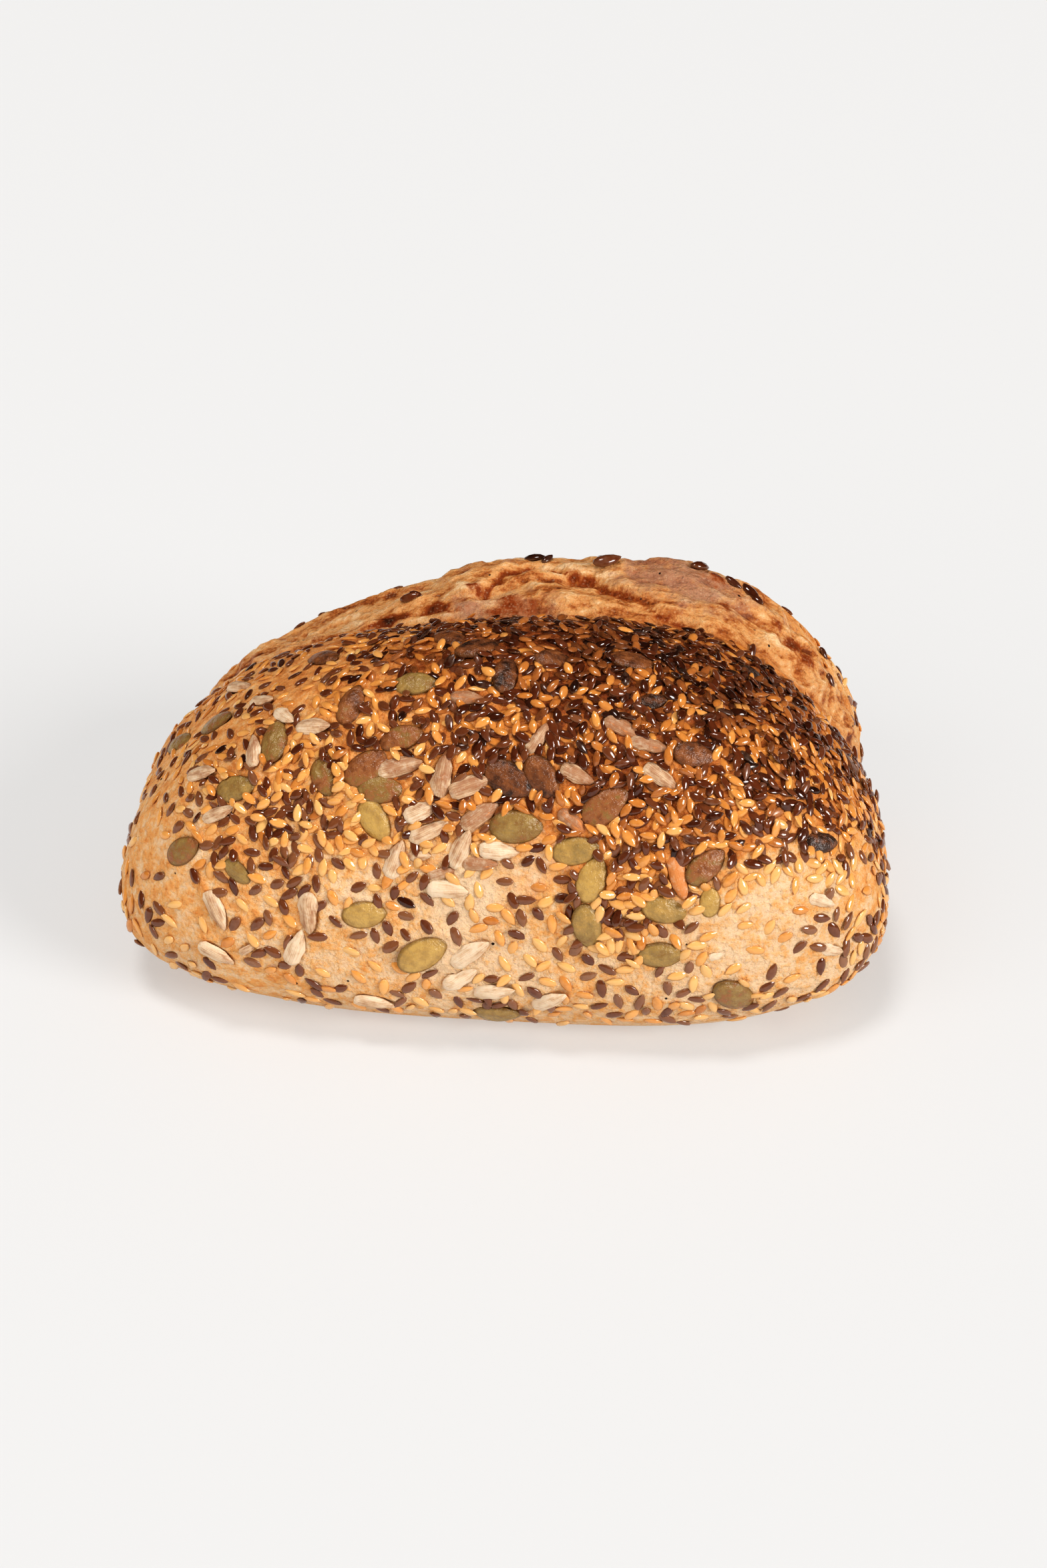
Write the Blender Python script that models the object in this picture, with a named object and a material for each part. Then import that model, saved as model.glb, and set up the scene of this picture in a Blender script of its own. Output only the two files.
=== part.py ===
"""A seeded multigrain loaf: two lobes of dough with a long crease between them, and seeds baked into the crust.

The front lobe, the two ends and the back are strewn with pumpkin seeds, sunflower kernels and linseeds. Behind the
crease the crust burst open in the oven, so that a bare, wrinkled band runs along the loaf. Everything is baked
together, so the loaf is one solid. Metres, +Z up. X runs along the loaf, and Y from its seeded front to its back.
The origin is the middle of the footprint, on the surface that the loaf stands on.
"""

import math
import random

import bmesh
import bpy
import numpy as np
from mathutils import Matrix, Vector, noise

# The two lobes: middle in plan, reach to the left and right, half width, height, and how square they are
FRONT_LOBE = {
    "middle": (0.0046, -0.0200),
    "reach": (0.1076, 0.0986),
    "half_width": 0.0525,
    "height": 0.0955,
    "plan_power": 3.2,
    "side_power": 2.0,
    "rise_to_right": 0.035,
    "end_drop": 0.0,
    "skew": -0.028,
}
REAR_LOBE = {
    "middle": (0.0084, 0.0292),
    "reach": (0.1030, 0.0920),
    "half_width": 0.0440,
    "height": 0.0870,
    "plan_power": 2.75,
    "side_power": 2.25,
    "rise_to_right": 0.105,
    "end_drop": 0.032,
    "skew": 0.028,
}
BELLY_HEIGHT = 0.0232
UNDERCUT_DEPTH = 0.0350
CREASE_BLEND = 0.0045
FOOT_BLEND = 0.0040
CORE = np.array([0.0, 0.0040, 0.0360])
LONGEST_RAY = 0.20
RAY_HALVINGS = 36
NORMAL_STEP = 0.0004

# The bare band behind the crease: where its back edge runs, and how far that edge wanders
BAND_BACK = 0.0480
BAND_END_TURN = 0.024
BAND_HALF_LENGTH = 0.100
BAND_WANDER = 0.0040
BAND_WANDER_SIZE = 0.022
BAND_END_POWER = 4
BAND_EDGE = 0.0020
CREASE_MARGIN = 0.0020

# Relief: (size of a lump, height of it), from broad swells down to crags
LUMPS = ((0.045, 0.0012), (0.018, 0.0008), (0.008, 0.0003))

# Folds of the bare band: (size along the loaf, size across it, height)
BAND_FOLDS = ((0.034, 0.010, 0.0016), (0.014, 0.006, 0.0008))
FOLD_SHARPNESS = 2.4

# A torn flap of crust that steps up along the bare band
FLAP_LINE = 0.0300
FLAP_WAVE = (0.005, 0.017)
FLAP_RISE = 0.0020
FLAP_SLOPE = (-0.0010, 0.0015)
FLAP_START = (-0.024, -0.012)
FLAP_END = (0.062, 0.078)

# The thin lip of the front lobe along the crease
LIP_RISE = 0.0010
LIP_WIDTH = 0.0040

# No relief on the flat base: it fades in between these heights
FLAT_BELOW = 0.0030
RELIEF_ABOVE = 0.0120

# Swells and hollows of the crust: (middle, radius, height)
SWELLS = (
    ((-0.100, -0.060, 0.016), 0.026, 0.0034),
    ((0.099, -0.055, 0.022), 0.022, 0.0014),
    ((0.099, -0.020, 0.050), 0.022, 0.0012),
    ((-0.023, -0.002, 0.095), 0.022, -0.0018),
    ((-0.056, 0.034, 0.082), 0.026, -0.0022),
    ((0.079, 0.045, 0.062), 0.030, 0.0010),
)

# Mesh of the bare loaf before it is thinned, and how many triangles it keeps
CUTS = (78, 54, 34)
BLOCK = (0.150, 0.105, 0.062)
BODY_TRIANGLES = 2800

# Whatever is lower than this belongs to the flat base
BASE_DEPTH = 0.0006

# Kinds of seed, largest first: how many, (length, width, thickness), sides round, rings along, taper of the tip,
# gap kept round each, and how much of the thickness stands out of the crust
PUMPKIN = {
    "count": 46,
    "size": (0.0136, 0.0080, 0.0036),
    "sides": 6,
    "rings": 4,
    "taper": 0.25,
    "gap": 0.0105,
    "proud": 0.60,
}
SUNFLOWER = {
    "count": 56,
    "size": (0.0104, 0.0050, 0.0032),
    "sides": 5,
    "rings": 4,
    "taper": 0.40,
    "gap": 0.0085,
    "proud": 0.60,
}
LINSEED = {
    "count": 56,
    "size": (0.0048, 0.0027, 0.0022),
    "sides": 4,
    "rings": 3,
    "taper": 0.25,
    "gap": 0.0052,
    "proud": 0.62,
}
SEED_KINDS = (PUMPKIN, SUNFLOWER, LINSEED)
SIZE_SPREAD = (0.88, 1.10)
SEED_TILT = math.radians(7)
SEED_NUMBER = 1457
TRIES = 60000
SEED_FLOOR = 0.0060
CREASE_CLEARANCE = 0.0035
MOST_BAND = 0.05
MOST_OVERHANG = -0.6
LEAST_SPACING_SHARE = 0.2

# How thickly seeds lie: on the front, on the back, on the ends, and low down near the base
FRONT_SHARE = 1.0
BACK_SHARE = 0.55
END_SHARE = 0.30
END_START = 0.082
END_FULL = 0.104
LOW_SHARE = 0.60
LOW_HEIGHT = 0.028

# Finish
CRUST_COLOUR = (0.52, 0.27, 0.10)
CRUST_ROUGHNESS = 0.72


def lobe_field(points, lobe):
    """Signed distance, roughly, to a rounded block with a belly, a crown and an undercut foot."""
    x = points[:, 0] - lobe["middle"][0]
    y = points[:, 1] - lobe["middle"][1] - lobe["skew"] * x
    z = points[:, 2] - BELLY_HEIGHT
    along = x / lobe["reach"][0]
    reach = np.where(x > 0, lobe["reach"][1], lobe["reach"][0])
    height = lobe["height"] * (1 + lobe["rise_to_right"] * along - lobe["end_drop"] * along**2)
    tall = np.where(z > 0, height - BELLY_HEIGHT, UNDERCUT_DEPTH)
    plan_power, side_power = lobe["plan_power"], lobe["side_power"]
    plan = np.abs(x / reach) ** plan_power + np.abs(y / lobe["half_width"]) ** plan_power
    whole = plan ** (side_power / plan_power) + np.abs(z / tall) ** side_power
    return (whole ** (1 / side_power) - 1) * lobe["half_width"]


def soft_min(a, b, blend):
    """The smaller of two fields, rounded over where they meet."""
    share = np.clip(0.5 + 0.5 * (b - a) / blend, 0, 1)
    return b + (a - b) * share - blend * share * (1 - share)


def loaf_field(points):
    """The bare loaf without its relief: both lobes, cut flat by the surface it stands on."""
    body = soft_min(lobe_field(points, FRONT_LOBE), lobe_field(points, REAR_LOBE), CREASE_BLEND)
    return -soft_min(-body, points[:, 2], FOOT_BLEND)


def smooth_step(low, high, value):
    """0 below low, 1 above high, and smooth between them."""
    share = np.clip((value - low) / (high - low), 0, 1)
    return share * share * (3 - 2 * share)


def skin(directions):
    """Where rays from the loaf's core leave its smooth skin."""
    unit = directions / np.linalg.norm(directions, axis=1, keepdims=True)
    near = np.zeros(len(unit))
    far = np.full(len(unit), LONGEST_RAY)
    for _ in range(RAY_HALVINGS):
        middle = (near + far) / 2
        inside = loaf_field(CORE + unit * middle[:, None]) < 0
        near = np.where(inside, middle, near)
        far = np.where(inside, far, middle)
    return CORE + unit * near[:, None]


def skin_normals(points):
    """Outward normals of the smooth skin, from the slope of its field."""
    slope = np.empty_like(points)
    for axis in range(3):
        step = np.zeros(3)
        step[axis] = NORMAL_STEP
        slope[:, axis] = loaf_field(points + step) - loaf_field(points - step)
    return slope / np.linalg.norm(slope, axis=1, keepdims=True)


def lumps(points, size):
    """Smooth noise from -1 to 1, with lumps of one size."""
    return np.array([noise.noise(Vector(p) / size) for p in points])


def folds(points, along, across):
    """Noise from 0 to 1 with crests that run along the loaf."""
    stretched = points / np.array([along, across, across])
    return 1 - np.minimum(1, FOLD_SHARPNESS * np.abs(lumps(stretched, 1.0)))


def band_share(points):
    """1 on the bare band behind the crease, 0 on the seeded crust, and smooth at its edges."""
    behind = lobe_field(points, FRONT_LOBE) - lobe_field(points, REAR_LOBE)
    wander = lumps(points, BAND_WANDER_SIZE)
    turn = BAND_END_TURN * np.abs(points[:, 0] / BAND_HALF_LENGTH) ** BAND_END_POWER
    back = BAND_BACK - turn + BAND_WANDER * wander
    past_crease = smooth_step(CREASE_MARGIN, 2 * CREASE_MARGIN, behind)
    return past_crease * (1 - smooth_step(-BAND_EDGE, BAND_EDGE, points[:, 1] - back))


def relief(points):
    """How far the crust stands out of the smooth skin at each point."""
    band = band_share(points)
    height = np.zeros(len(points))
    for size, rise in LUMPS:
        height += rise * lumps(points, size)
    for along, across, rise in BAND_FOLDS:
        height += band * rise * (folds(points, along, across) - 0.5)
    wave, wave_length = FLAP_WAVE
    behind_flap = points[:, 1] - FLAP_LINE - wave * np.sin(points[:, 0] / wave_length)
    flap_span = smooth_step(*FLAP_START, points[:, 0]) - smooth_step(*FLAP_END, points[:, 0])
    height += band * flap_span * FLAP_RISE * smooth_step(*FLAP_SLOPE, behind_flap)
    before_crease = lobe_field(points, FRONT_LOBE) - lobe_field(points, REAR_LOBE) + LIP_WIDTH
    lip = np.exp(-((before_crease / LIP_WIDTH) ** 2))
    height += LIP_RISE * lip * (points[:, 2] > BELLY_HEIGHT)
    for middle, radius, rise in SWELLS:
        away = np.linalg.norm(points - np.array(middle), axis=1)
        height += rise * np.exp(-((away / radius) ** 2))
    return height * smooth_step(FLAT_BELOW, RELIEF_ABOVE, points[:, 2])


def crust_points(directions):
    """(points, normals) of the crust with its relief, along rays from the loaf's core."""
    smooth = skin(directions)
    normals = skin_normals(smooth)
    return smooth + normals * relief(smooth)[:, None], normals


def cut_across(mesh, axis, cuts):
    """Cuts a block's edges that run along one axis into equal lengths."""
    running = [edge for edge in mesh.edges if abs(edge.verts[0].co[axis] - edge.verts[1].co[axis]) > 1]
    bmesh.ops.subdivide_edges(mesh, edges=running, cuts=cuts, use_grid_fill=True)


def make_material(name, colour, roughness):
    """A plain Principled finish."""
    material = bpy.data.materials.new(name)
    material.use_nodes = True
    shader = material.node_tree.nodes["Principled BSDF"]
    shader.inputs["Base Color"].default_value = (*colour, 1.0)
    shader.inputs["Roughness"].default_value = roughness
    shader.inputs["Metallic"].default_value = 0.0
    return material


def make_body(collection):
    """The bare loaf: a finely cut block, pushed out to the crust and thinned where the crust is smooth."""
    mesh = bmesh.new()
    bmesh.ops.create_cube(mesh, size=2.0)
    for axis, cuts in enumerate(CUTS):
        cut_across(mesh, axis, cuts)
    rays = np.array([v.co[:] for v in mesh.verts]) * BLOCK
    points, _ = crust_points(rays)
    for vertex, point in zip(mesh.verts, points):
        vertex.co = point
    data = bpy.data.meshes.new("loaf")
    mesh.to_mesh(data)
    mesh.free()
    body = bpy.data.objects.new("loaf", data)
    collection.objects.link(body)
    thin = body.modifiers.new("thin", "DECIMATE")
    thin.ratio = BODY_TRIANGLES / (2 * len(data.polygons))
    apply_modifiers(body)
    for vertex in body.data.vertices:
        if vertex.co.z < BASE_DEPTH:
            vertex.co.z = 0.0
    return body


def apply_modifiers(thing):
    """Makes what the modifiers give the object's own mesh."""
    graph = bpy.context.evaluated_depsgraph_get()
    done = bpy.data.meshes.new_from_object(thing.evaluated_get(graph))
    old = thing.data
    thing.modifiers.clear()
    thing.data = done
    bpy.data.meshes.remove(old)


def seed_share(points, normals):
    """How thickly seeds lie at each point, from 0 to 1."""
    behind = lobe_field(points, FRONT_LOBE) - lobe_field(points, REAR_LOBE)
    side = np.where(behind > 0, BACK_SHARE, FRONT_SHARE)
    end = smooth_step(END_START, END_FULL, np.abs(points[:, 0]))
    low = 1 - smooth_step(SEED_FLOOR, LOW_HEIGHT, points[:, 2])
    share = side * (1 - end * (1 - END_SHARE)) * (1 - low * (1 - LOW_SHARE))
    share *= band_share(points) < MOST_BAND
    share *= np.abs(behind) > CREASE_CLEARANCE
    return share * (points[:, 2] > SEED_FLOOR) * (normals[:, 2] > MOST_OVERHANG)


def seed_places(draw):
    """A list of (kind, point, normal): each kind spread evenly, the largest first, with its own gap."""
    rays = np.array([[draw.gauss(0, 1) for _ in range(3)] for _ in range(TRIES)]) * BLOCK
    points, normals = crust_points(rays)
    share = seed_share(points, normals)
    taken = np.empty((0, 3))
    gaps = np.empty(0)
    places = []
    tries = iter(range(TRIES))
    for kind in SEED_KINDS:
        placed = 0
        for index in tries:
            gap = kind["gap"] / math.sqrt(max(share[index], LEAST_SPACING_SHARE))
            if share[index] < draw.random():
                continue
            away = np.linalg.norm(taken - points[index], axis=1)
            if len(away) and (away < (gaps + gap) / 2).any():
                continue
            places.append((kind, Vector(points[index]), Vector(normals[index])))
            taken = np.vstack([taken, points[index]])
            gaps = np.append(gaps, gap)
            placed += 1
            if placed == kind["count"]:
                break
    return places


def seed_mesh(kind):
    """A flat drop: rings of a squashed egg, with one tip narrower than the other."""
    mesh = bmesh.new()
    rings = []
    for ring in range(1, kind["rings"]):
        along = -math.cos(math.pi * ring / kind["rings"])
        around = math.sin(math.pi * ring / kind["rings"]) * (1 - kind["taper"] * along)
        turns = [2 * math.pi * side / kind["sides"] for side in range(kind["sides"])]
        rings.append([mesh.verts.new((along, around * math.cos(t), around * math.sin(t))) for t in turns])
    tips = [mesh.verts.new((-1, 0, 0)), mesh.verts.new((1, 0, 0))]
    for low, high in zip(rings, rings[1:]):
        for side in range(kind["sides"]):
            after = (side + 1) % kind["sides"]
            mesh.faces.new((low[side], low[after], high[after], high[side]))
    for side in range(kind["sides"]):
        after = (side + 1) % kind["sides"]
        mesh.faces.new((tips[0], rings[0][after], rings[0][side]))
        mesh.faces.new((tips[1], rings[-1][side], rings[-1][after]))
    bmesh.ops.recalc_face_normals(mesh, faces=mesh.faces)
    bmesh.ops.triangulate(mesh, faces=mesh.faces)
    data = bpy.data.meshes.new("seed")
    mesh.to_mesh(data)
    mesh.free()
    return data


def make_seeds(collection):
    """Every seed as an object of its own, lying in the crust with part of its thickness standing out."""
    draw = random.Random(SEED_NUMBER)
    for kind, point, normal in seed_places(draw):
        size = Vector(kind["size"]) * draw.uniform(*SIZE_SPREAD)
        lie = Vector((0, 0, 1)).rotation_difference(normal).to_matrix()
        turn = Matrix.Rotation(draw.uniform(0, 2 * math.pi), 3, "Z")
        tilt = Matrix.Rotation(draw.uniform(-SEED_TILT, SEED_TILT), 3, "Y")
        shape = lie @ turn @ tilt @ Matrix.Diagonal(size / 2)
        lift = normal * size.z * (kind["proud"] - 0.5)
        data = seed_mesh(kind)
        data.transform(Matrix.Translation(point + lift) @ shape.to_4x4())
        seed = bpy.data.objects.new("seed", data)
        collection.objects.link(seed)


def fuse_seeds(body, seeds):
    """Joins the body and every seed into one solid, and drops the seeds' own objects."""
    fuse = body.modifiers.new("fuse", "BOOLEAN")
    fuse.operation = "UNION"
    fuse.operand_type = "COLLECTION"
    fuse.collection = seeds
    fuse.solver = "EXACT"
    apply_modifiers(body)
    for seed in list(seeds.objects):
        data = seed.data
        bpy.data.objects.remove(seed)
        bpy.data.meshes.remove(data)
    bpy.data.collections.remove(seeds)


def drop_scraps(body):
    """Keeps only the largest closed shell of the joined mesh."""
    mesh = bmesh.new()
    mesh.from_mesh(body.data)
    left = set(mesh.verts)
    shells = []
    while left:
        shell = []
        stack = [left.pop()]
        while stack:
            vertex = stack.pop()
            shell.append(vertex)
            near = [edge.other_vert(vertex) for edge in vertex.link_edges]
            fresh = [other for other in near if other in left]
            left.difference_update(fresh)
            stack.extend(fresh)
        shells.append(shell)
    shells.sort(key=len)
    scraps = [vertex for shell in shells[:-1] for vertex in shell]
    bmesh.ops.delete(mesh, geom=scraps, context="VERTS")
    bmesh.ops.triangulate(mesh, faces=mesh.faces)
    mesh.to_mesh(body.data)
    mesh.free()


def main():
    for thing in list(bpy.data.objects):
        bpy.data.objects.remove(thing)
    loaf_collection = bpy.data.collections.new("seeded_multigrain_loaf")
    seed_collection = bpy.data.collections.new("seeds")
    for collection in (loaf_collection, seed_collection):
        bpy.context.scene.collection.children.link(collection)
    body = make_body(loaf_collection)
    make_seeds(seed_collection)
    fuse_seeds(body, seed_collection)
    drop_scraps(body)
    body.data.materials.clear()
    body.data.materials.append(make_material("baked_crust", CRUST_COLOUR, CRUST_ROUGHNESS))


main()
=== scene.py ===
"""Dresses the seeded multigrain loaf: its crust, and every seed baked onto it.

The frame's one solid gives way to a finely modelled crust and to four kinds of seed lying on it: pumpkin
seeds, sunflower kernels, and brown and golden linseeds. Metres, +Z up. X runs along the loaf, and Y from its
seeded front to its back.
"""

import functools
import math
import random

import bpy
import numpy as np
from bpy.props import FloatProperty, FloatVectorProperty, PointerProperty
from bpy.types import Operator, Panel, PropertyGroup
from mathutils import Matrix, Vector, noise
from mathutils.bvhtree import BVHTree


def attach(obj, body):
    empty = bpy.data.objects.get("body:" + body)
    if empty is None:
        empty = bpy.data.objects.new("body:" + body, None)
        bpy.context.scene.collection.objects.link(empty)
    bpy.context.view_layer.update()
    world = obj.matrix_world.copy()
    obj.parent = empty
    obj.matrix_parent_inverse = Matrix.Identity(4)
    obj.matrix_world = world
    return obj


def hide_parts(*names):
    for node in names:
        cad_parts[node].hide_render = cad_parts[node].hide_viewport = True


bl_info = {
    "name": "Seeded Multigrain Loaf",
    "version": (1, 0, 0),
    "blender": (4, 5, 0),
    "location": "View3D > Sidebar > Loaf",
    "description": "Models a multigrain loaf with linseeds, sunflower kernels and pumpkin seeds on its crust",
    "category": "Add Mesh",
}

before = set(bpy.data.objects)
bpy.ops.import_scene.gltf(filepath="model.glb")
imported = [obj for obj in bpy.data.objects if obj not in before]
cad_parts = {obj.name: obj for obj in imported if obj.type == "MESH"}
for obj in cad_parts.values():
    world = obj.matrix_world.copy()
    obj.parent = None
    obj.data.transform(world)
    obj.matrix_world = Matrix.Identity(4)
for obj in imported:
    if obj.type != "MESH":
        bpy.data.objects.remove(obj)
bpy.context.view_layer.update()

# The photograph, and the camera that took it
PHOTO_SIZE = (1568, 2348)
CAMERA_TARGET = Vector((0.0044, 0.0045, 0.0360))
CAMERA_AZIMUTH = math.radians(3.41)
CAMERA_ELEVATION = math.radians(31.0)
CAMERA_DISTANCE = 0.75
PIXELS_PER_METRE = 5340.0
SENSOR = 0.036
CAMERA_CLIP = (0.01, 20)
RAY_SPAN = 0.14
RAY_STEPS = 1400

# The lights: name, the place each shines from, its width in the sky in degrees, and whether gloss shows it
LIGHTS = (
    ("overhead", (-0.20, -0.05, 1.30), 16, True),
    ("right", (1.00, -0.60, 0.55), 26, True),
    ("left", (-0.80, -0.95, 0.50), 60, False),
)

# The two lobes of dough, as in the frame's solid
FRONT_LOBE = {
    "middle": (0.0046, -0.0200),
    "reach": (0.1076, 0.0986),
    "half_width": 0.0525,
    "height": 0.0955,
    "plan_power": 3.2,
    "side_power": 2.0,
    "rise_to_right": 0.035,
    "end_drop": 0.0,
    "skew": -0.028,
}
REAR_LOBE = {
    "middle": (0.0084, 0.0292),
    "reach": (0.1030, 0.0920),
    "half_width": 0.0440,
    "height": 0.0870,
    "plan_power": 2.75,
    "side_power": 2.25,
    "rise_to_right": 0.105,
    "end_drop": 0.032,
    "skew": 0.028,
}
BELLY_HEIGHT = 0.0232
UNDERCUT_DEPTH = 0.0350
CREASE_BLEND = 0.0045
FOOT_BLEND = 0.0040
CORE = np.array([0.0, 0.0040, 0.0360])
LONGEST_RAY = 0.20
RAY_HALVINGS = 36
NORMAL_STEP = 0.0004
TINY = 1e-6
LEVEL_MATCH = 0.001

# The bare band behind the crease
BAND_BACK = 0.0480
BAND_END_TURN = 0.024
BAND_HALF_LENGTH = 0.100
BAND_WANDER = 0.0040
BAND_WANDER_SIZE = 0.022
BAND_END_POWER = 4
BAND_EDGE = 0.0020
CREASE_MARGIN = 0.0020
BAND_FOLDS = ((0.034, 0.010, 0.0016), (0.014, 0.006, 0.0008), (0.006, 0.0025, 0.0003))
FOLD_SHARPNESS = 2.4
FLAP_LINE = 0.0300
FLAP_WAVE = (0.005, 0.017)
FLAP_RISE = 0.0020
FLAP_SLOPE = (-0.0010, 0.0015)
FLAP_START = (-0.024, -0.012)
FLAP_END = (0.062, 0.078)
CRAGS = ((0.0040, 0.0006), (0.0021, 0.0004))
LIP_RISE = 0.0010
LIP_WIDTH = 0.0040

# Relief of the crust: (size of a lump, height of it)
LUMPS = ((0.045, 0.0012), (0.018, 0.0008), (0.008, 0.0003), (0.0042, 0.00022), (0.0024, 0.00012))
FLAT_BELOW = 0.0030
RELIEF_ABOVE = 0.0120
SWELLS = (
    ((-0.100, -0.060, 0.016), 0.026, 0.0034),
    ((0.099, -0.055, 0.022), 0.022, 0.0014),
    ((0.099, -0.020, 0.050), 0.022, 0.0012),
    ((-0.023, -0.002, 0.095), 0.022, -0.0018),
    ((-0.056, 0.034, 0.082), 0.026, -0.0022),
    ((0.079, 0.045, 0.062), 0.030, 0.0010),
)

# The block that the crust is pushed out from
CUT_ROUNDS = ((15, 11), (12, 9), (8, 7))
CUBE_SIDE = 2.0
BLOCK = (0.150, 0.105, 0.062)
LEAST_EDGE = 0.001

# How brown the crust is, from 0, pale dough, to 1, burnt: (pixel in the patch's middle, radius, brownness)
TOAST_PATCHES = (
    ((230, 1250), 0.034, 0.28),
    ((420, 1230), 0.032, 0.34),
    ((480, 1040), 0.026, 0.46),
    ((330, 1420), 0.026, 0.22),
    ((560, 1400), 0.030, 0.12),
    ((700, 1360), 0.026, 0.06),
    ((800, 1450), 0.026, 0.05),
    ((1080, 1420), 0.030, 0.02),
    ((1180, 1440), 0.020, 0.02),
    ((1290, 1400), 0.026, 0.03),
    ((1270, 1330), 0.014, 0.10),
    ((1000, 1150), 0.036, 0.64),
    ((1150, 1130), 0.034, 0.70),
    ((1220, 1250), 0.020, 0.50),
    ((850, 1080), 0.030, 0.66),
    ((1000, 980), 0.028, 0.84),
    ((740, 960), 0.024, 0.88),
    ((870, 955), 0.016, 0.88),
    ((1160, 1020), 0.022, 0.86),
    ((640, 1060), 0.022, 0.52),
    ((640, 985), 0.014, 0.84),
    ((1150, 1375), 0.016, 0.05),
    ((1230, 1350), 0.013, 0.10),
    ((1100, 1420), 0.016, 0.03),
)
# Smooth, almost raw patches of dough
RAW_PATCHES = (
    ((700, 1340), 0.012, 0.9),
    ((800, 1290), 0.010, 0.6),
    ((640, 1440), 0.010, 0.7),
    ((1010, 1400), 0.010, 0.4),
)
# The share of the brownness that bare crust shows, the painted shade between seeds that a full cover of them
# adds, and where the back begins
CRUST_TOAST = 0.70
SEED_SHADE_TOAST = 0.24
TOAST_EDGE = 0.004
# Brownness away from the patches: at the foot of the front, how much it rises to the top, and on the back
FRONT_TOAST = 0.22
FRONT_TOAST_RISE = 0.34
TOAST_HEIGHTS = (0.012, 0.085)
BACK_TOAST = 0.55
BACK_MOTTLE = 0.16
BACK_LUMP = 0.024
# How far a vertex stands out of its neighbourhood to count as a ridge, and how wide that neighbourhood is,
# for painted shade in the bare band's recesses and painted light on its ridges
HOLLOW_SHADE_DEPTH = 0.0008
HOLLOW_SHADE_ROUNDS = 4

# Dark stains of the bare band: (pixel, radius, darkness)
STAINS = (
    ((579, 919), 0.0040, 0.9),
    ((596, 914), 0.0030, 0.7),
    ((650, 903), 0.0035, 0.8),
    ((664, 904), 0.0025, 0.7),
    ((710, 881), 0.0025, 0.6),
    ((755, 905), 0.0070, 0.5),
    ((800, 905), 0.0050, 0.4),
    ((930, 892), 0.0030, 0.5),
    ((1000, 925), 0.0030, 0.5),
    ((1066, 874), 0.0030, 0.7),
    ((1079, 912), 0.0035, 0.5),
    ((1160, 940), 0.0030, 0.5),
    ((1188, 968), 0.0040, 0.7),
    ((1205, 990), 0.0035, 0.6),
    ((1240, 1050), 0.0030, 0.4),
    ((470, 950), 0.0040, 0.4),
)
# Duller brown skin on the bare band: (pixel, radius, share)
SKIN_PATCHES = (
    ((760, 912), 0.010, 0.8),
    ((700, 908), 0.008, 0.7),
    ((820, 925), 0.006, 0.6),
    ((1020, 872), 0.012, 0.9),
    ((1060, 890), 0.010, 0.8),
    ((960, 862), 0.009, 0.7),
    ((720, 850), 0.008, 0.5),
    ((1110, 905), 0.008, 0.5),
    ((620, 880), 0.006, 0.3),
)
# Torn edges of crust across the bare band: (pixels along the tear, half width, darkness of the painted shade
# on the steep face below the edge, depth)
TEARS = (
    (
        ((722, 880), (748, 862), (790, 852), (842, 853), (890, 859), (915, 874), (950, 888)),
        0.0013, 0.62, 0.0026,
    ),
    (((950, 888), (966, 898), (990, 918), (1015, 928)), 0.0012, 0.60, 0.0016),
    (((1130, 930), (1165, 950), (1195, 985), (1212, 1020)), 0.0012, 0.42, 0.0013),
    (((560, 922), (600, 912), (640, 905), (680, 906)), 0.0012, 0.50, 0.0014),
    (((1180, 905), (1215, 935), (1250, 985), (1268, 1030)), 0.0010, 0.45, 0.0010),
    (((1228, 965), (1242, 1005), (1252, 1055)), 0.0009, 0.45, 0.0008),
    (((460, 955), (510, 930), (560, 912)), 0.0011, 0.36, 0.0009),
    (((1010, 860), (1060, 878), (1105, 908)), 0.0009, 0.32, 0.0007),
    (((800, 900), (835, 912), (880, 918)), 0.0010, 0.40, 0.0008),
)
TEAR_REACH = 0.0065
TEAR_STEPS = 24

# How thickly linseeds lie: (pixel, radius, share of the thickest cover)
SEED_PATCHES = (
    ((420, 1180), 0.040, 0.50),
    ((225, 1250), 0.026, 0.01),
    ((190, 1150), 0.022, 0.02),
    ((245, 1170), 0.012, 0.06),
    ((240, 1060), 0.016, 0.20),
    ((300, 1130), 0.014, 0.34),
    ((400, 1225), 0.019, 1.00),
    ((470, 1245), 0.020, 1.00),
    ((550, 1270), 0.018, 1.00),
    ((480, 1310), 0.012, 0.85),
    ((590, 1210), 0.016, 0.95),
    ((330, 1250), 0.010, 0.50),
    ((350, 1420), 0.026, 0.13),
    ((300, 1360), 0.012, 0.14),
    ((560, 1400), 0.024, 0.12),
    ((700, 1330), 0.016, 0.08),
    ((820, 1430), 0.022, 0.10),
    ((640, 1130), 0.022, 0.56),
    ((620, 980), 0.022, 0.62),
    ((420, 1020), 0.022, 0.30),
    ((900, 1060), 0.040, 1.00),
    ((1080, 1100), 0.040, 1.00),
    ((1180, 1200), 0.024, 1.00),
    ((980, 1270), 0.022, 0.95),
    ((1120, 1290), 0.018, 1.00),
    ((1190, 1290), 0.014, 0.85),
    ((1100, 1430), 0.022, 0.05),
    ((1180, 1390), 0.016, 0.10),
    ((1270, 1340), 0.014, 0.25),
    ((1290, 1410), 0.012, 0.30),
    ((960, 1460), 0.012, 0.10),
    ((830, 1290), 0.012, 0.30),
    ((940, 1330), 0.012, 0.85),
    ((930, 1390), 0.012, 0.75),
)
FRONT_SEEDS = 0.45
SEED_EDGE = 0.002
RAGGED_EDGE = 0.0030
RAGGED_SIZE = 0.0070
BURST_EDGE = (0.001, 0.003)
# On the back and the ends: the share, the heights between which it fades out, and how far they wander
BACK_SEEDS = 0.34
BACK_SEEDS_BELOW = (0.016, 0.084)
BACK_WANDER = 0.026
END_SEEDS = 0.22
END_FROM = (0.086, 0.104)
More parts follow.
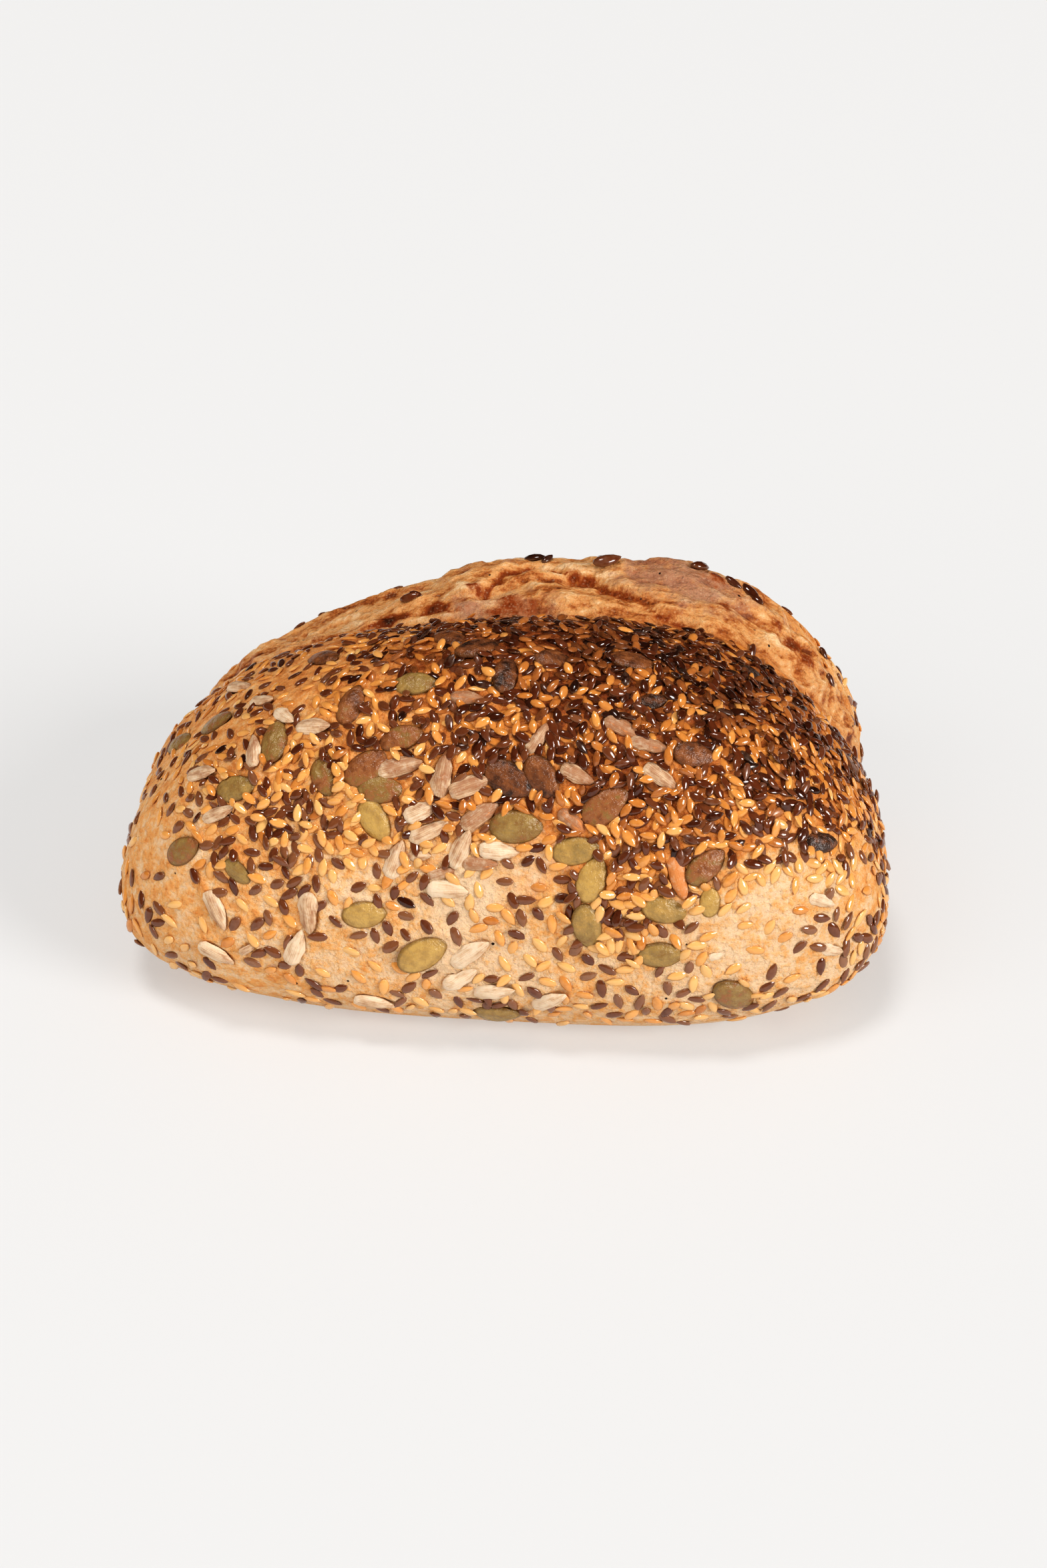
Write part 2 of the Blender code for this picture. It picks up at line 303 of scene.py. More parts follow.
# Where the cover thins out: at the foot, and under the loaf, by the upward part of the normal
FOOT_FADE = (0.001, 0.014)
UNDER_FADE = (-0.95, -0.55)

# Pumpkin seeds that show: pixel, turn in degrees, tone from 0, yellow olive, to 1, burnt, and size
PUMPKIN_SEEN = (
    (326, 1084, 25, 0.50, 1.0),
    (271, 1114, 25, 0.45, 0.9),
    (412, 1111, 80, 0.50, 1.0),
    (352, 1182, 10, 0.33, 0.95),
    (484, 1164, -70, 0.52, 0.86),
    (275, 1274, 30, 0.52, 0.92),
    (356, 1305, -45, 0.34, 0.70),
    (485, 987, -10, 0.76, 0.92),
    (526, 1058, 65, 0.70, 0.95),
    (621, 1025, 0, 0.34, 0.95),
    (600, 1106, 15, 0.62, 0.95),
    (549, 1151, 35, 0.64, 1.12),
    (570, 1183, 0, 0.50, 1.0),
    (561, 1228, -60, 0.03, 1.02),
    (545, 1369, 5, 0.08, 0.98),
    (632, 1428, 25, 0.10, 1.16),
    (674, 958, -15, 0.78, 0.90),
    (715, 972, 20, 0.86, 1.05),
    (757, 1012, 80, 0.88, 0.92),
    (828, 989, 0, 0.80, 0.85),
    (762, 1167, -30, 0.88, 1.14),
    (812, 1164, -60, 0.78, 1.05),
    (773, 1238, -3, 0.40, 1.14),
    (743, 1516, 0, 0.30, 1.0),
    (905, 1209, 35, 0.63, 1.15),
    (862, 1274, 10, 0.20, 0.98),
    (886, 1317, 70, 0.04, 1.05),
    (879, 1386, -80, 0.32, 1.05),
    (996, 1362, -10, 0.22, 1.0),
    (989, 1429, 0, 0.34, 1.0),
    (1056, 1298, 40, 0.62, 0.95),
    (1039, 1131, -5, 0.82, 0.95),
    (944, 991, -12, 0.80, 1.0),
    (1099, 1489, -30, 0.47, 1.10),
    (1228, 1262, 0, 0.92, 0.80),
    (977, 1051, 5, 0.96, 0.62),
    (1123, 1008, -15, 0.96, 0.70),
    (1269, 1144, -60, 0.82, 0.85),
    (1063, 1350, 85, 0.00, 0.70),
)

# Dark linseeds along the top of the bare band: pixel, turn in degrees, tone and size
CREST_LINSEEDS = (
    (802, 839, 0, 0.90, 1.5),
    (820, 838, 20, 0.85, 1.0),
    (912, 835, 15, 0.55, 1.9),
    (903, 839, -30, 0.60, 1.3),
    (1048, 851, -10, 0.70, 1.6),
    (1098, 874, -35, 0.75, 1.2),
    (1124, 889, -45, 0.80, 1.5),
    (1133, 899, -50, 0.75, 1.2),
    (594, 869, 20, 0.55, 1.3),
    (607, 865, 0, 0.75, 0.9),
    (1232, 980, -50, 0.80, 1.0),
    (1243, 1020, -60, 0.75, 1.0),
)

# Sunflower kernels that show: pixel, turn in degrees, tone from 0, cream, to 1, brown, and size
SUNFLOWER_SEEN = (
    (360, 1031, 10, 0.35, 1.0),
    (395, 1051, 0, 0.30, 0.95),
    (427, 1074, -35, 0.15, 0.85),
    (471, 1089, 0, 0.35, 1.0),
    (381, 1125, 90, 0.40, 0.95),
    (304, 1159, 10, 0.30, 1.0),
    (328, 1219, 20, 0.30, 0.95),
    (600, 1149, 15, 0.50, 1.15),
    (663, 1161, 80, 0.56, 1.15),
    (705, 1176, 20, 0.48, 1.1),
    (633, 1214, 25, 0.30, 1.0),
    (719, 1221, 35, 0.55, 1.1),
    (643, 1245, 25, 0.25, 1.05),
    (593, 1286, 70, 0.25, 1.0),
    (628, 1281, 0, 0.30, 0.62),
    (691, 1271, 65, 0.25, 1.05),
    (748, 1274, -5, 0.15, 1.0),
    (719, 1293, 0, 0.60, 0.9),
    (662, 1307, 15, 0.50, 0.75),
    (671, 1332, -5, 0.10, 1.05),
    (463, 1367, -85, 0.36, 1.12),
    (325, 1362, -65, 0.30, 1.05),
    (444, 1417, 70, 0.15, 1.05),
    (325, 1427, -30, 0.25, 1.0),
    (372, 1420, 30, 0.35, 0.55),
    (705, 1426, 35, 0.10, 1.15),
    (690, 1464, 25, 0.05, 1.0),
    (561, 1498, -10, 0.20, 1.1),
    (741, 1483, 8, 0.05, 1.1),
    (824, 1496, 25, 0.05, 1.1),
    (807, 1106, 55, 0.50, 0.9),
    (932, 1091, -25, 0.68, 0.95),
    (972, 1116, -15, 0.56, 0.95),
    (989, 1164, -35, 0.35, 1.0),
    (865, 1161, -25, 0.60, 0.9),
    (858, 1231, -40, 0.85, 0.9),
    (1016, 1314, -75, 1.30, 1.1),
    (1230, 1349, -15, 0.10, 0.75),
    (1245, 1422, -5, 0.20, 0.7),
    (700, 1046, -5, 0.70, 0.85),
    (1073, 1431, 20, 0.0, 0.45),
)

# Seeds where the photograph doesn't reach: how many of each, and the gap between them
PUMPKIN_HIDDEN = 20
SUNFLOWER_HIDDEN = 26
HIDDEN_GAP = 0.0130
HIDDEN_TRIES = 6000
HIDDEN_LEAST_SHARE = 0.04
HIDDEN_LOWEST = 0.009
PUMPKIN_HIDDEN_TONES = (0.25, 0.9)
SUNFLOWER_HIDDEN_TONES = (0.2, 0.7)
UNSEEN = -0.45
SUNK_PUMPKIN = 0.36
SUNK_SUNFLOWER = 0.30
SUNK_CREST = 0.30
CREST_THICKENING = 1.6

# How much of a seed's length its lie is averaged over
LEVELLED_REACH = 0.4

# How far a seed may lean out of the crust
HIDDEN_LEAN = math.radians(6)
SEEN_LEAN = math.radians(7)
BED_LEAN = math.radians(13)
CREST_LEAN = math.radians(15)
TOP_LEAN = math.radians(24)

# The crust round a large seed: a dent under it, and a rim at this many half sizes from its middle
SEED_DENT = 0.0005
SEED_RIM = 0.0005
SEED_RIM_AT = 1.18
SEED_RIM_WIDTH = 0.20
SEED_DENT_EDGE = (0.6, 1.0)
SEED_REACH = 1.8
COVERED_REACH = 1.05

# Linseeds in the crust, the bed, and on top of others: the gap between their middles where they lie thickest
BED_GAP = 0.0020
TOP_GAP = 0.0027
TOP_SHARE = 0.45
TOP_LIFT = 0.00085
BED_TRIES = 130000
TOP_TRIES = 30000
LEAST_SHARE = 0.006
LOWEST_SEED = 0.0030
LOW_GROWTH = 0.15
LOW_BAND = (0.030, 0.065)
MOST_TOAST = 0.94
LINSEED_RISE = 0.25
LINSEED_SPREAD = 0.06
FAR_AWAY = 9.0
# The brownness of a linseed on pale crust, its growth as the crust browns, and the power of that growth
GOLDEN_TONE = (0.11, 0.95, 2.0)
BROWN_TONE = (0.18, 0.66, 1.0)
TONE_SPREAD = 0.18
CLUMP_SIZE = 0.011
CLUMP_DEPTH = 2.2
CLUMP_RANGE = (0.05, 2.0)
# The share of golden linseeds: on the whole, its change from clump to clump, and its loss on dark crust
GOLDEN_SHARE = 0.50
GOLDEN_CLUMP = 0.45
GOLDEN_CLUMP_SIZE = 0.012
GOLDEN_LOSS = 0.25
GOLDEN_LOSS_ABOVE = 0.6
DRAW_NUMBER = 1457

# Seed shapes: radii at stations along a drop, and (radius, height) rings across a flat oval
LINSEED_PROFILE = (0.0, 0.56, 0.92, 1.0, 0.76, 0.27, 0.0)
SUNFLOWER_PROFILE = (0.0, 0.60, 0.92, 1.0, 0.95, 0.78, 0.50, 0.22, 0.0)
PUMPKIN_HALF_RINGS = ((0.0, 1.0), (0.45, 0.96), (0.72, 0.80), (0.88, 0.50), (0.92, 0.42), (1.0, 0.26))
PUMPKIN_RINGS = (
    *((radius, -height) for radius, height in PUMPKIN_HALF_RINGS),
    *reversed(PUMPKIN_HALF_RINGS),
)
LINSEED_SIDES = 8
SUNFLOWER_SIDES = 14
PUMPKIN_SIDES = 22
EDGE_THINNING = 0.55
BEND_CENTRE = 0.4
SHAPE_JITTER = 0.03
KERNEL_RIDGE = 0.05
KERNEL_RIDGES = 4
KERNEL_WAVE = 0.06
PUMPKIN_TIP_FROM = 0.35
PUMPKIN_TIP_NARROWING = 0.20
PUMPKIN_TIP_POINT = 0.05
PUMPKIN_NARROWING = 0.08
PUMPKIN_TIP_THINNING = 0.25

# How many variants of each seed there are, and the ranges in which they differ
LINSEED_VARIANTS = 6
LINSEED_BENDS = (-0.12, 0.12)
SUNFLOWER_VARIANTS = 6
KERNEL_SWELLS = (0.86, 1.10)
KERNEL_BENDS = (-0.25, 0.35)
KERNEL_WAVES = (1.5, 3.5)
ANY_PHASE = (0, 6)
PUMPKIN_VARIANTS = 5
PUMPKIN_BOWS = (-0.30, 0.22)
PUMPKIN_TWISTS = (-0.2, 0.2)
SEEN_SIZES = (0.96, 1.04)
HIDDEN_SIZES = (0.86, 1.12)
LINSEED_SIZES = (0.93, 1.07)
LIFT_SIZES = (0.6, 1.2)


# The form of the loaf

def lobe_field(points, lobe):
    """Signed distance, roughly, to a rounded block with a belly, a crown and an undercut foot."""
    x = points[:, 0] - lobe["middle"][0]
    y = points[:, 1] - lobe["middle"][1] - lobe["skew"] * x
    z = points[:, 2] - BELLY_HEIGHT
    along = x / lobe["reach"][0]
    reach = np.where(x > 0, lobe["reach"][1], lobe["reach"][0])
    height = lobe["height"] * (1 + lobe["rise_to_right"] * along - lobe["end_drop"] * along**2)
    tall = np.where(z > 0, height - BELLY_HEIGHT, UNDERCUT_DEPTH)
    plan_power, side_power = lobe["plan_power"], lobe["side_power"]
    plan = np.abs(x / reach) ** plan_power + np.abs(y / lobe["half_width"]) ** plan_power
    whole = plan ** (side_power / plan_power) + np.abs(z / tall) ** side_power
    return (whole ** (1 / side_power) - 1) * lobe["half_width"]


def soft_min(a, b, blend):
    """The smaller of two fields, rounded over where they meet."""
    share = np.clip(0.5 + 0.5 * (b - a) / blend, 0, 1)
    return b + (a - b) * share - blend * share * (1 - share)


def loaf_field(points):
    """The bare loaf without its relief: both lobes, cut flat by the surface it stands on."""
    body = soft_min(lobe_field(points, FRONT_LOBE), lobe_field(points, REAR_LOBE), CREASE_BLEND)
    return -soft_min(-body, points[:, 2], FOOT_BLEND)


def smooth_step(low, high, value):
    """0 below low, 1 above high, and smooth between them."""
    share = np.clip((value - low) / (high - low), 0, 1)
    return share * share * (3 - 2 * share)


def skin(directions):
    """Where rays from the loaf's core leave its smooth skin."""
    unit = directions / np.linalg.norm(directions, axis=1, keepdims=True)
    near = np.zeros(len(unit))
    far = np.full(len(unit), LONGEST_RAY)
    for _ in range(RAY_HALVINGS):
        middle = (near + far) / 2
        inside = loaf_field(CORE + unit * middle[:, None]) < 0
        near = np.where(inside, middle, near)
        far = np.where(inside, far, middle)
    return CORE + unit * near[:, None]


def skin_normals(points):
    """Outward normals of the smooth skin, from the slope of its field."""
    slope = np.empty_like(points)
    for axis in range(3):
        step = np.zeros(3)
        step[axis] = NORMAL_STEP
        slope[:, axis] = loaf_field(points + step) - loaf_field(points - step)
    return slope / np.linalg.norm(slope, axis=1, keepdims=True)


def lumps(points, size):
    """Smooth noise from -1 to 1, with lumps of one size."""
    return np.array([noise.noise(Vector(p) / size) for p in points])


def folds(points, along, across):
    """Noise from 0 to 1 with crests that run along the loaf."""
    stretched = points / np.array([along, across, across])
    return 1 - np.minimum(1, FOLD_SHARPNESS * np.abs(lumps(stretched, 1.0)))


def behind_crease(points):
    """Above 0 on the rear lobe, below 0 on the front one, and near 0 along the crease."""
    return lobe_field(points, FRONT_LOBE) - lobe_field(points, REAR_LOBE)


def band_share(points):
    """1 on the bare band behind the crease, 0 on the seeded crust, and smooth at its edges."""
    turn = BAND_END_TURN * np.abs(points[:, 0] / BAND_HALF_LENGTH) ** BAND_END_POWER
    back = BAND_BACK - turn + BAND_WANDER * lumps(points, BAND_WANDER_SIZE)
    past_crease = smooth_step(CREASE_MARGIN, 2 * CREASE_MARGIN, behind_crease(points))
    return past_crease * (1 - smooth_step(-BAND_EDGE, BAND_EDGE, points[:, 1] - back))


def relief(points):
    """How far the crust stands out of the smooth skin at each point."""
    band = band_share(points)
    height = np.zeros(len(points))
    for size, rise in LUMPS:
        height += rise * lumps(points, size)
    for along, across, rise in BAND_FOLDS:
        height += band * rise * (folds(points, along, across) - 0.5)
    wave, wave_length = FLAP_WAVE
    behind_flap = points[:, 1] - FLAP_LINE - wave * np.sin(points[:, 0] / wave_length)
    flap_span = smooth_step(*FLAP_START, points[:, 0]) - smooth_step(*FLAP_END, points[:, 0])
    height += band * flap_span * FLAP_RISE * smooth_step(*FLAP_SLOPE, behind_flap)
    before_crease = behind_crease(points) + LIP_WIDTH
    lip = np.exp(-((before_crease / LIP_WIDTH) ** 2))
    height += LIP_RISE * lip * (points[:, 2] > BELLY_HEIGHT)
    for middle, radius, rise in SWELLS:
        away = np.linalg.norm(points - np.array(middle), axis=1)
        height += rise * np.exp(-((away / radius) ** 2))
    return height * smooth_step(FLAT_BELOW, RELIEF_ABOVE, points[:, 2])


# The camera, and what its pixels show

def camera_axes():
    """(right, up, back) of the camera, as unit vectors."""
    level = math.cos(CAMERA_ELEVATION)
    aside, ahead = math.sin(CAMERA_AZIMUTH), math.cos(CAMERA_AZIMUTH)
    back = Vector((aside * level, -ahead * level, math.sin(CAMERA_ELEVATION)))
    right = Vector((ahead, aside, 0))
    return right, back.cross(right), back


def camera_place():
    """Where the camera stands."""
    return CAMERA_TARGET + camera_axes()[2] * CAMERA_DISTANCE


def pixel_ray(pixel):
    """The direction in which the camera sees a pixel of the photograph."""
    right, up, back = camera_axes()
    focal = PIXELS_PER_METRE * CAMERA_DISTANCE
    aside = (pixel[0] - PHOTO_SIZE[0] / 2) / focal
    above = (PHOTO_SIZE[1] / 2 - pixel[1]) / focal
    return (right * aside + up * above - back).normalized()


@functools.lru_cache(maxsize=None)
def crust_tree():
    """The crust's surface, for finding what a ray meets."""
    crust = bpy.data.objects["crust"]
    mesh = crust.data
    return BVHTree.FromPolygons([v.co for v in mesh.vertices], [p.vertices for p in mesh.polygons])


def seen_on_crust(pixel):
    """(point, normal) of the crust at a pixel, or at its edge where the ray just misses it."""
    origin, ray = camera_place(), pixel_ray(pixel)
    point, normal, _, _ = crust_tree().ray_cast(origin, ray)
    if point is None:
        nearest = origin + ray * (CAMERA_TARGET - origin).length
        point, normal, _, _ = crust_tree().find_nearest(nearest)
    return point, normal


def patch_value(points, start, patches):
    """A value over the crust: start, drawn towards each patch's own value near that patch."""
    value = np.array(start, float)
    for pixel, radius, target in patches:
        middle = np.array(smooth_seen(pixel))
        away = np.linalg.norm(points - middle, axis=1)
        near = np.exp(-((away / radius) ** 2))
        value = value * (1 - near) + target * near
    return value


@functools.lru_cache(maxsize=None)
def smooth_seen(pixel):
    """The point of the loaf's smooth skin that the camera sees at a pixel."""
    origin = np.array(camera_place())
    ray = np.array(pixel_ray(pixel))
    steps = np.linspace(CAMERA_DISTANCE - RAY_SPAN, CAMERA_DISTANCE + RAY_SPAN, RAY_STEPS)
    field = loaf_field(origin + ray * steps[:, None])
    inside = np.nonzero(field < 0)[0]
    step = steps[inside[0]] if len(inside) else steps[np.argmin(field)]
    return tuple(origin + ray * step)


def tear_line(pixels):
    """Points along a tear, on the loaf's smooth skin."""
    pixels = np.array(pixels, float)
    line = []
    for step in np.linspace(0, len(pixels) - 1, TEAR_STEPS):
        pixel = [float(np.interp(step, range(len(pixels)), pixels[:, axis])) for axis in (0, 1)]
        line.append(smooth_seen(tuple(pixel)))
    return np.array(line)


@functools.lru_cache(maxsize=None)
def tear_lines():
    """Every tear as (points, directions up over its edge)."""
    lines = []
    for pixels, *_ in TEARS:
        line = tear_line(pixels)
        uphill = np.cross(skin_normals(line), np.gradient(line, axis=0))
        uphill *= np.sign(uphill[:, 1:2]) / np.linalg.norm(uphill, axis=1, keepdims=True)
        lines.append((line, uphill))
    return lines


def tear_shade_and_depth(points):
    """(painted shade, depth) of the torn edges at each point: the crust drops away on their lower side, and
    the steep face there is painted dark as shade.
    """
    darkness, depth = np.zeros(len(points)), np.zeros(len(points))
    for (_, half_width, dark, deep), (line, uphill) in zip(TEARS, tear_lines()):
        away = np.linalg.norm(points[:, None] - line, axis=2)
        nearest = np.argmin(away, axis=1)
        reach = away[np.arange(len(points)), nearest]
        over = np.einsum("ij,ij->i", points - line[nearest], uphill[nearest])
        below = 1 - smooth_step(-half_width, half_width, over)
        depth = np.maximum(depth, deep * below * np.exp(-((reach / TEAR_REACH) ** 2)))
        # Painted shade on the steep face just below each torn edge
        face = np.exp(-(((over + half_width) / half_width) ** 2)) * np.exp(-((reach / (3 * half_width)) ** 2))
        darkness = np.maximum(darkness, dark * face)
    return darkness, depth


def stain_and_shade_share(points):
    """How dark the stains of the bare band are, with the painted shade under its torn edges added, from 0 to
    1.
    """
    spots = np.zeros(len(points))
    for pixel, radius, dark in STAINS:
        away = np.linalg.norm(points - np.array(smooth_seen(pixel)), axis=1)
        spots = np.maximum(spots, dark * np.exp(-((away / radius) ** 2)))
    return np.maximum(spots, tear_shade_and_depth(points)[0])


def toast_share(points):
    """How brown the crust is, from 0 to 1."""
    rise = smooth_step(*TOAST_HEIGHTS, points[:, 2])
    start = FRONT_TOAST + FRONT_TOAST_RISE * rise
    back = BACK_TOAST * (0.5 + 0.5 * rise) + BACK_MOTTLE * lumps(points, BACK_LUMP)
    start = np.where(behind_crease(points) > 0, back, start)
    front = patch_value(points, start, TOAST_PATCHES)
    return np.where(behind_crease(points) > TOAST_EDGE, start, front)


def seed_share(points, normals):
    """How thickly linseeds lie, from 0 to 1."""
    behind = behind_crease(points) + RAGGED_EDGE * lumps(points, RAGGED_SIZE)
    front = patch_value(points, np.full(len(points), FRONT_SEEDS), SEED_PATCHES)
    end = smooth_step(*END_FROM, np.abs(points[:, 0]))
    back = BACK_SEEDS * (1 - end) + END_SEEDS * end
    height = points[:, 2] + BACK_WANDER * lumps(points, BACK_LUMP)
    back = back * (1 - smooth_step(*BACK_SEEDS_BELOW, height))
    share = np.where(behind > SEED_EDGE, back, front)
    share *= 1 - band_share(points) * smooth_step(*BURST_EDGE, behind)
    share *= smooth_step(*FOOT_FADE, points[:, 2])
    return share * smooth_step(*UNDER_FADE, normals[:, 2])


# Helpers for modelling with Blender's own tools

def in_edit_mode(act, **values):
    """Runs one step of modelling in edit mode."""
    bpy.ops.object.mode_set(mode="EDIT")
    act(**values)
    bpy.ops.object.mode_set(mode="OBJECT")


def select_edges_along(mesh, axis):
    """Selects the edges of a block that run along one axis."""
    for polygon in mesh.polygons:
        polygon.select = False
    for vertex in mesh.vertices:
        vertex.select = False
    for edge in mesh.edges:
        ends = [mesh.vertices[i].co[axis] for i in edge.vertices]
        edge.select = abs(ends[0] - ends[1]) > LEAST_EDGE


def positions(mesh):
    """Every vertex's place, as rows of an array."""
    flat = np.empty(len(mesh.vertices) * 3)
    mesh.vertices.foreach_get("co", flat)
    return flat.reshape(-1, 3)


def place_vertices(mesh, points):
    """Moves every vertex of a mesh."""
    mesh.vertices.foreach_set("co", np.ascontiguousarray(points, dtype=np.float32).ravel())
    mesh.update()


def store(mesh, name, values):
    """Keeps one number for each vertex, for the finish to read."""
    attribute = mesh.attributes.new(name, "FLOAT", "POINT")
    attribute.data.foreach_set("value", np.ascontiguousarray(values, dtype=np.float32))


def add_to_loaf(piece, material, name):
    """Names a finished piece, gives it its finish and ties it to the frame."""
    piece.name = name
    piece.data.name = name
    piece.data.materials.clear()
    piece.data.materials.append(material)
    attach(piece, "root")


# Finishes

class Finish:
    """One procedural finish, built node by node on the piece's own coordinates."""

    def __init__(self, name):
        self.material = bpy.data.materials.new(name)
        self.material.use_nodes = True
        self.tree = self.material.node_tree
        self.shader = self.tree.nodes["Principled BSDF"]
        self.place = self.node("ShaderNodeTexCoord", {}).outputs["Object"]

    def node(self, kind, inputs, **settings):
        """Adds a node, with each input given as a value or as another node's output."""
        made = self.tree.nodes.new(kind)
        for key, value in settings.items():
            setattr(made, key, value)
        for key, value in inputs.items():
            self.feed(made.inputs[key], value)
        return made

    def feed(self, socket, value):
        """Sets a socket, or links an output to it."""
        if isinstance(value, bpy.types.NodeSocket):
            self.tree.links.new(value, socket)
        else:
            socket.default_value = value

    def kept(self, name):
        """A number kept on the piece's vertices."""
        return self.node("ShaderNodeAttribute", {}, attribute_name=name).outputs["Fac"]

    def lay(self):
        """The place inside each seed, kept on its vertices."""
        return self.node("ShaderNodeAttribute", {}, attribute_name="lay").outputs["Vector"]

    def stretched(self, vector, scale):
        """Coordinates drawn out along an axis."""
        inputs = {"Vector": vector, "Scale": scale}
        return self.node("ShaderNodeMapping", inputs).outputs["Vector"]

    def noise(self, size, detail=3.0, vector=None, roughness=0.55):
        """Cloudy noise from 0 to 1 with patches of one size."""
        inputs = {"Scale": 1 / size, "Detail": detail, "Roughness": roughness}
        inputs["Vector"] = vector or self.place
        return self.node("ShaderNodeTexNoise", inputs).outputs["Fac"]

    def cells(self, size):
        """Distance to the middle of the nearest of many cells of one size."""
        inputs = {"Scale": 1 / size, "Vector": self.place}
        return self.node("ShaderNodeTexVoronoi", inputs).outputs["Distance"]

    def flat_reach(self, lay):
        """How far out across a seed's flat face, from 0 in its middle to 1 at its rim."""
        flat = self.node("ShaderNodeVectorMath", {0: lay, 1: (1, 1, 0)}, operation="MULTIPLY")
        length = self.node("ShaderNodeVectorMath", {0: flat.outputs["Vector"]}, operation="LENGTH")
        return length.outputs["Value"]

    def math(self, operation, a, b=0.0):
        """The result of one operation on two values."""
        made = self.node("ShaderNodeMath", {}, operation=operation)
        self.feed(made.inputs[0], a)
        self.feed(made.inputs[1], b)
        return made.outputs["Value"]

    def fit(self, value, low, high, to_low=0.0, to_high=1.0):
        """A value moved from one range to another, and kept in it."""
        inputs = {"Value": value, "From Min": low, "From Max": high, "To Min": to_low, "To Max": to_high}
        return self.node("ShaderNodeMapRange", inputs).outputs["Result"]

    def wobble(self, value, other, depth):
        """A value moved up and down by noise."""
        return self.math("ADD", value, self.fit(other, 0.25, 0.75, -depth, depth))

    def ramp(self, value, stops):
        """Colours along a value."""
        made = self.node("ShaderNodeValToRGB", {"Fac": value})
        elements = made.color_ramp.elements
        elements[0].position, elements[1].position = stops[0][0], stops[-1][0]
        elements[0].color, elements[1].color = (*stops[0][1], 1.0), (*stops[-1][1], 1.0)
        for position, colour in stops[1:-1]:
            elements.new(position).color = (*colour, 1.0)
        return made.outputs["Color"]

    def mix(self, share, a, b, blend="MIX"):
        """Two colours mixed by a share, or multiplied by it where blend says so."""
        made = self.node("ShaderNodeMix", {}, data_type="RGBA", blend_type=blend)
        colours = [socket for socket in made.inputs if socket.type == "RGBA"]
        self.feed(made.inputs[0], share)
        self.feed(colours[0], a if isinstance(a, bpy.types.NodeSocket) else (*a, 1.0))
        self.feed(colours[1], b if isinstance(b, bpy.types.NodeSocket) else (*b, 1.0))
        return [socket for socket in made.outputs if socket.type == "RGBA"][0]

    def bump(self, height, distance, strength=1.0, normal=None):
        """Adds fine relief to the surface."""
        inputs = {"Height": height, "Distance": distance, "Strength": strength}
        if normal:
            inputs["Normal"] = normal
        return self.node("ShaderNodeBump", inputs).outputs["Normal"]

    def surface(self, **values):
        """Sets or links the shader's sockets."""
        for key, value in values.items():
            self.feed(self.shader.inputs[key.replace("_", " ")], value)
        return self.material


# Colours along a tone, from 0 to 1, and colours of their own
CRUST_COLOURS = (
    (0.00, (0.760, 0.540, 0.345)),
    (0.08, (0.750, 0.485, 0.265)),
    (0.20, (0.750, 0.400, 0.155)),
    (0.34, (0.700, 0.318, 0.104)),
    (0.50, (0.570, 0.215, 0.056)),
    (0.68, (0.340, 0.100, 0.024)),
    (0.88, (0.140, 0.034, 0.010)),
    (1.00, (0.045, 0.013, 0.006)),
)
BURST_COLOURS = (
    (0.00, (0.200, 0.055, 0.016)),
    (0.18, (0.380, 0.120, 0.030)),
    (0.34, (0.520, 0.208, 0.066)),
    (0.55, (0.680, 0.340, 0.132)),
    (0.78, (0.710, 0.400, 0.182)),
    (1.00, (0.820, 0.550, 0.315)),
)
# Stains of the bare band, with the painted shade under its torn edges
STAIN_AND_SHADE_COLOURS = (
    (0.00, (0.620, 0.220, 0.045)),
    (0.45, (0.300, 0.070, 0.014)),
    (1.00, (0.050, 0.016, 0.009)),
)
RAW_COLOUR = (0.760, 0.548, 0.358)
SKIN_COLOUR = (0.420, 0.215, 0.135)
# Painted warm shade for the fine pits of the crust
CREVICE_SHADE_COLOUR = (0.840, 0.540, 0.300)
FLAKY_COLOUR = (0.780, 0.565, 0.370)
FLOUR_COLOUR = (0.820, 0.630, 0.420)
# Painted shade along the crust's fine cracks
CRACK_SHADE_COLOUR = (0.560, 0.300, 0.130)
# Near-black painted shade of tiny pin-holes
PINHOLE_SHADE_COLOUR = (0.035, 0.020, 0.013)
RIM_COLOUR = (0.480, 0.280, 0.150)
DUST_COLOUR = (0.500, 0.350, 0.240)
# A pumpkin seed's dark rim: its own darker edge and painted shade along its outline
PUMPKIN_RIM_AND_SHADE_COLOUR = (0.110, 0.048, 0.014)
PUMPKIN_SPECKLE_COLOUR = (0.600, 0.480, 0.340)
KERNEL_FLOUR_COLOUR = (0.740, 0.620, 0.480)
FLOOR_CLOUD_COLOUR = (0.385, 0.382, 0.378)
ROOM_COLOUR = (1.0, 0.99, 0.98, 1.0)
BROWN_LINSEED_COLOURS = (
    (0.00, (0.270, 0.120, 0.056)),
    (0.30, (0.205, 0.074, 0.030)),
    (0.58, (0.145, 0.041, 0.015)),
    (0.80, (0.076, 0.020, 0.008)),
    (1.00, (0.024, 0.010, 0.007)),
)
GOLDEN_LINSEED_COLOURS = (
    (0.00, (0.760, 0.450, 0.175)),
    (0.30, (0.740, 0.350, 0.100)),
    (0.55, (0.560, 0.220, 0.052)),
    (0.78, (0.360, 0.130, 0.038)),
    (1.00, (0.130, 0.044, 0.017)),
)
PUMPKIN_COLOURS = (
    (0.00, (0.520, 0.330, 0.105)),
    (0.15, (0.440, 0.270, 0.086)),
    (0.33, (0.335, 0.216, 0.074)),
    (0.50, (0.280, 0.158, 0.050)),
    (0.62, (0.330, 0.134, 0.050)),
    (0.75, (0.240, 0.090, 0.032)),
    (0.88, (0.155, 0.060, 0.027)),
    (1.00, (0.055, 0.026, 0.015)),
)
SUNFLOWER_COLOURS = (
    (0.00, (0.760, 0.590, 0.420)),
    (0.25, (0.640, 0.440, 0.275)),
    (0.50, (0.440, 0.245, 0.135)),
    (0.80, (0.380, 0.170, 0.078)),
    (1.00, (0.620, 0.245, 0.075)),
)

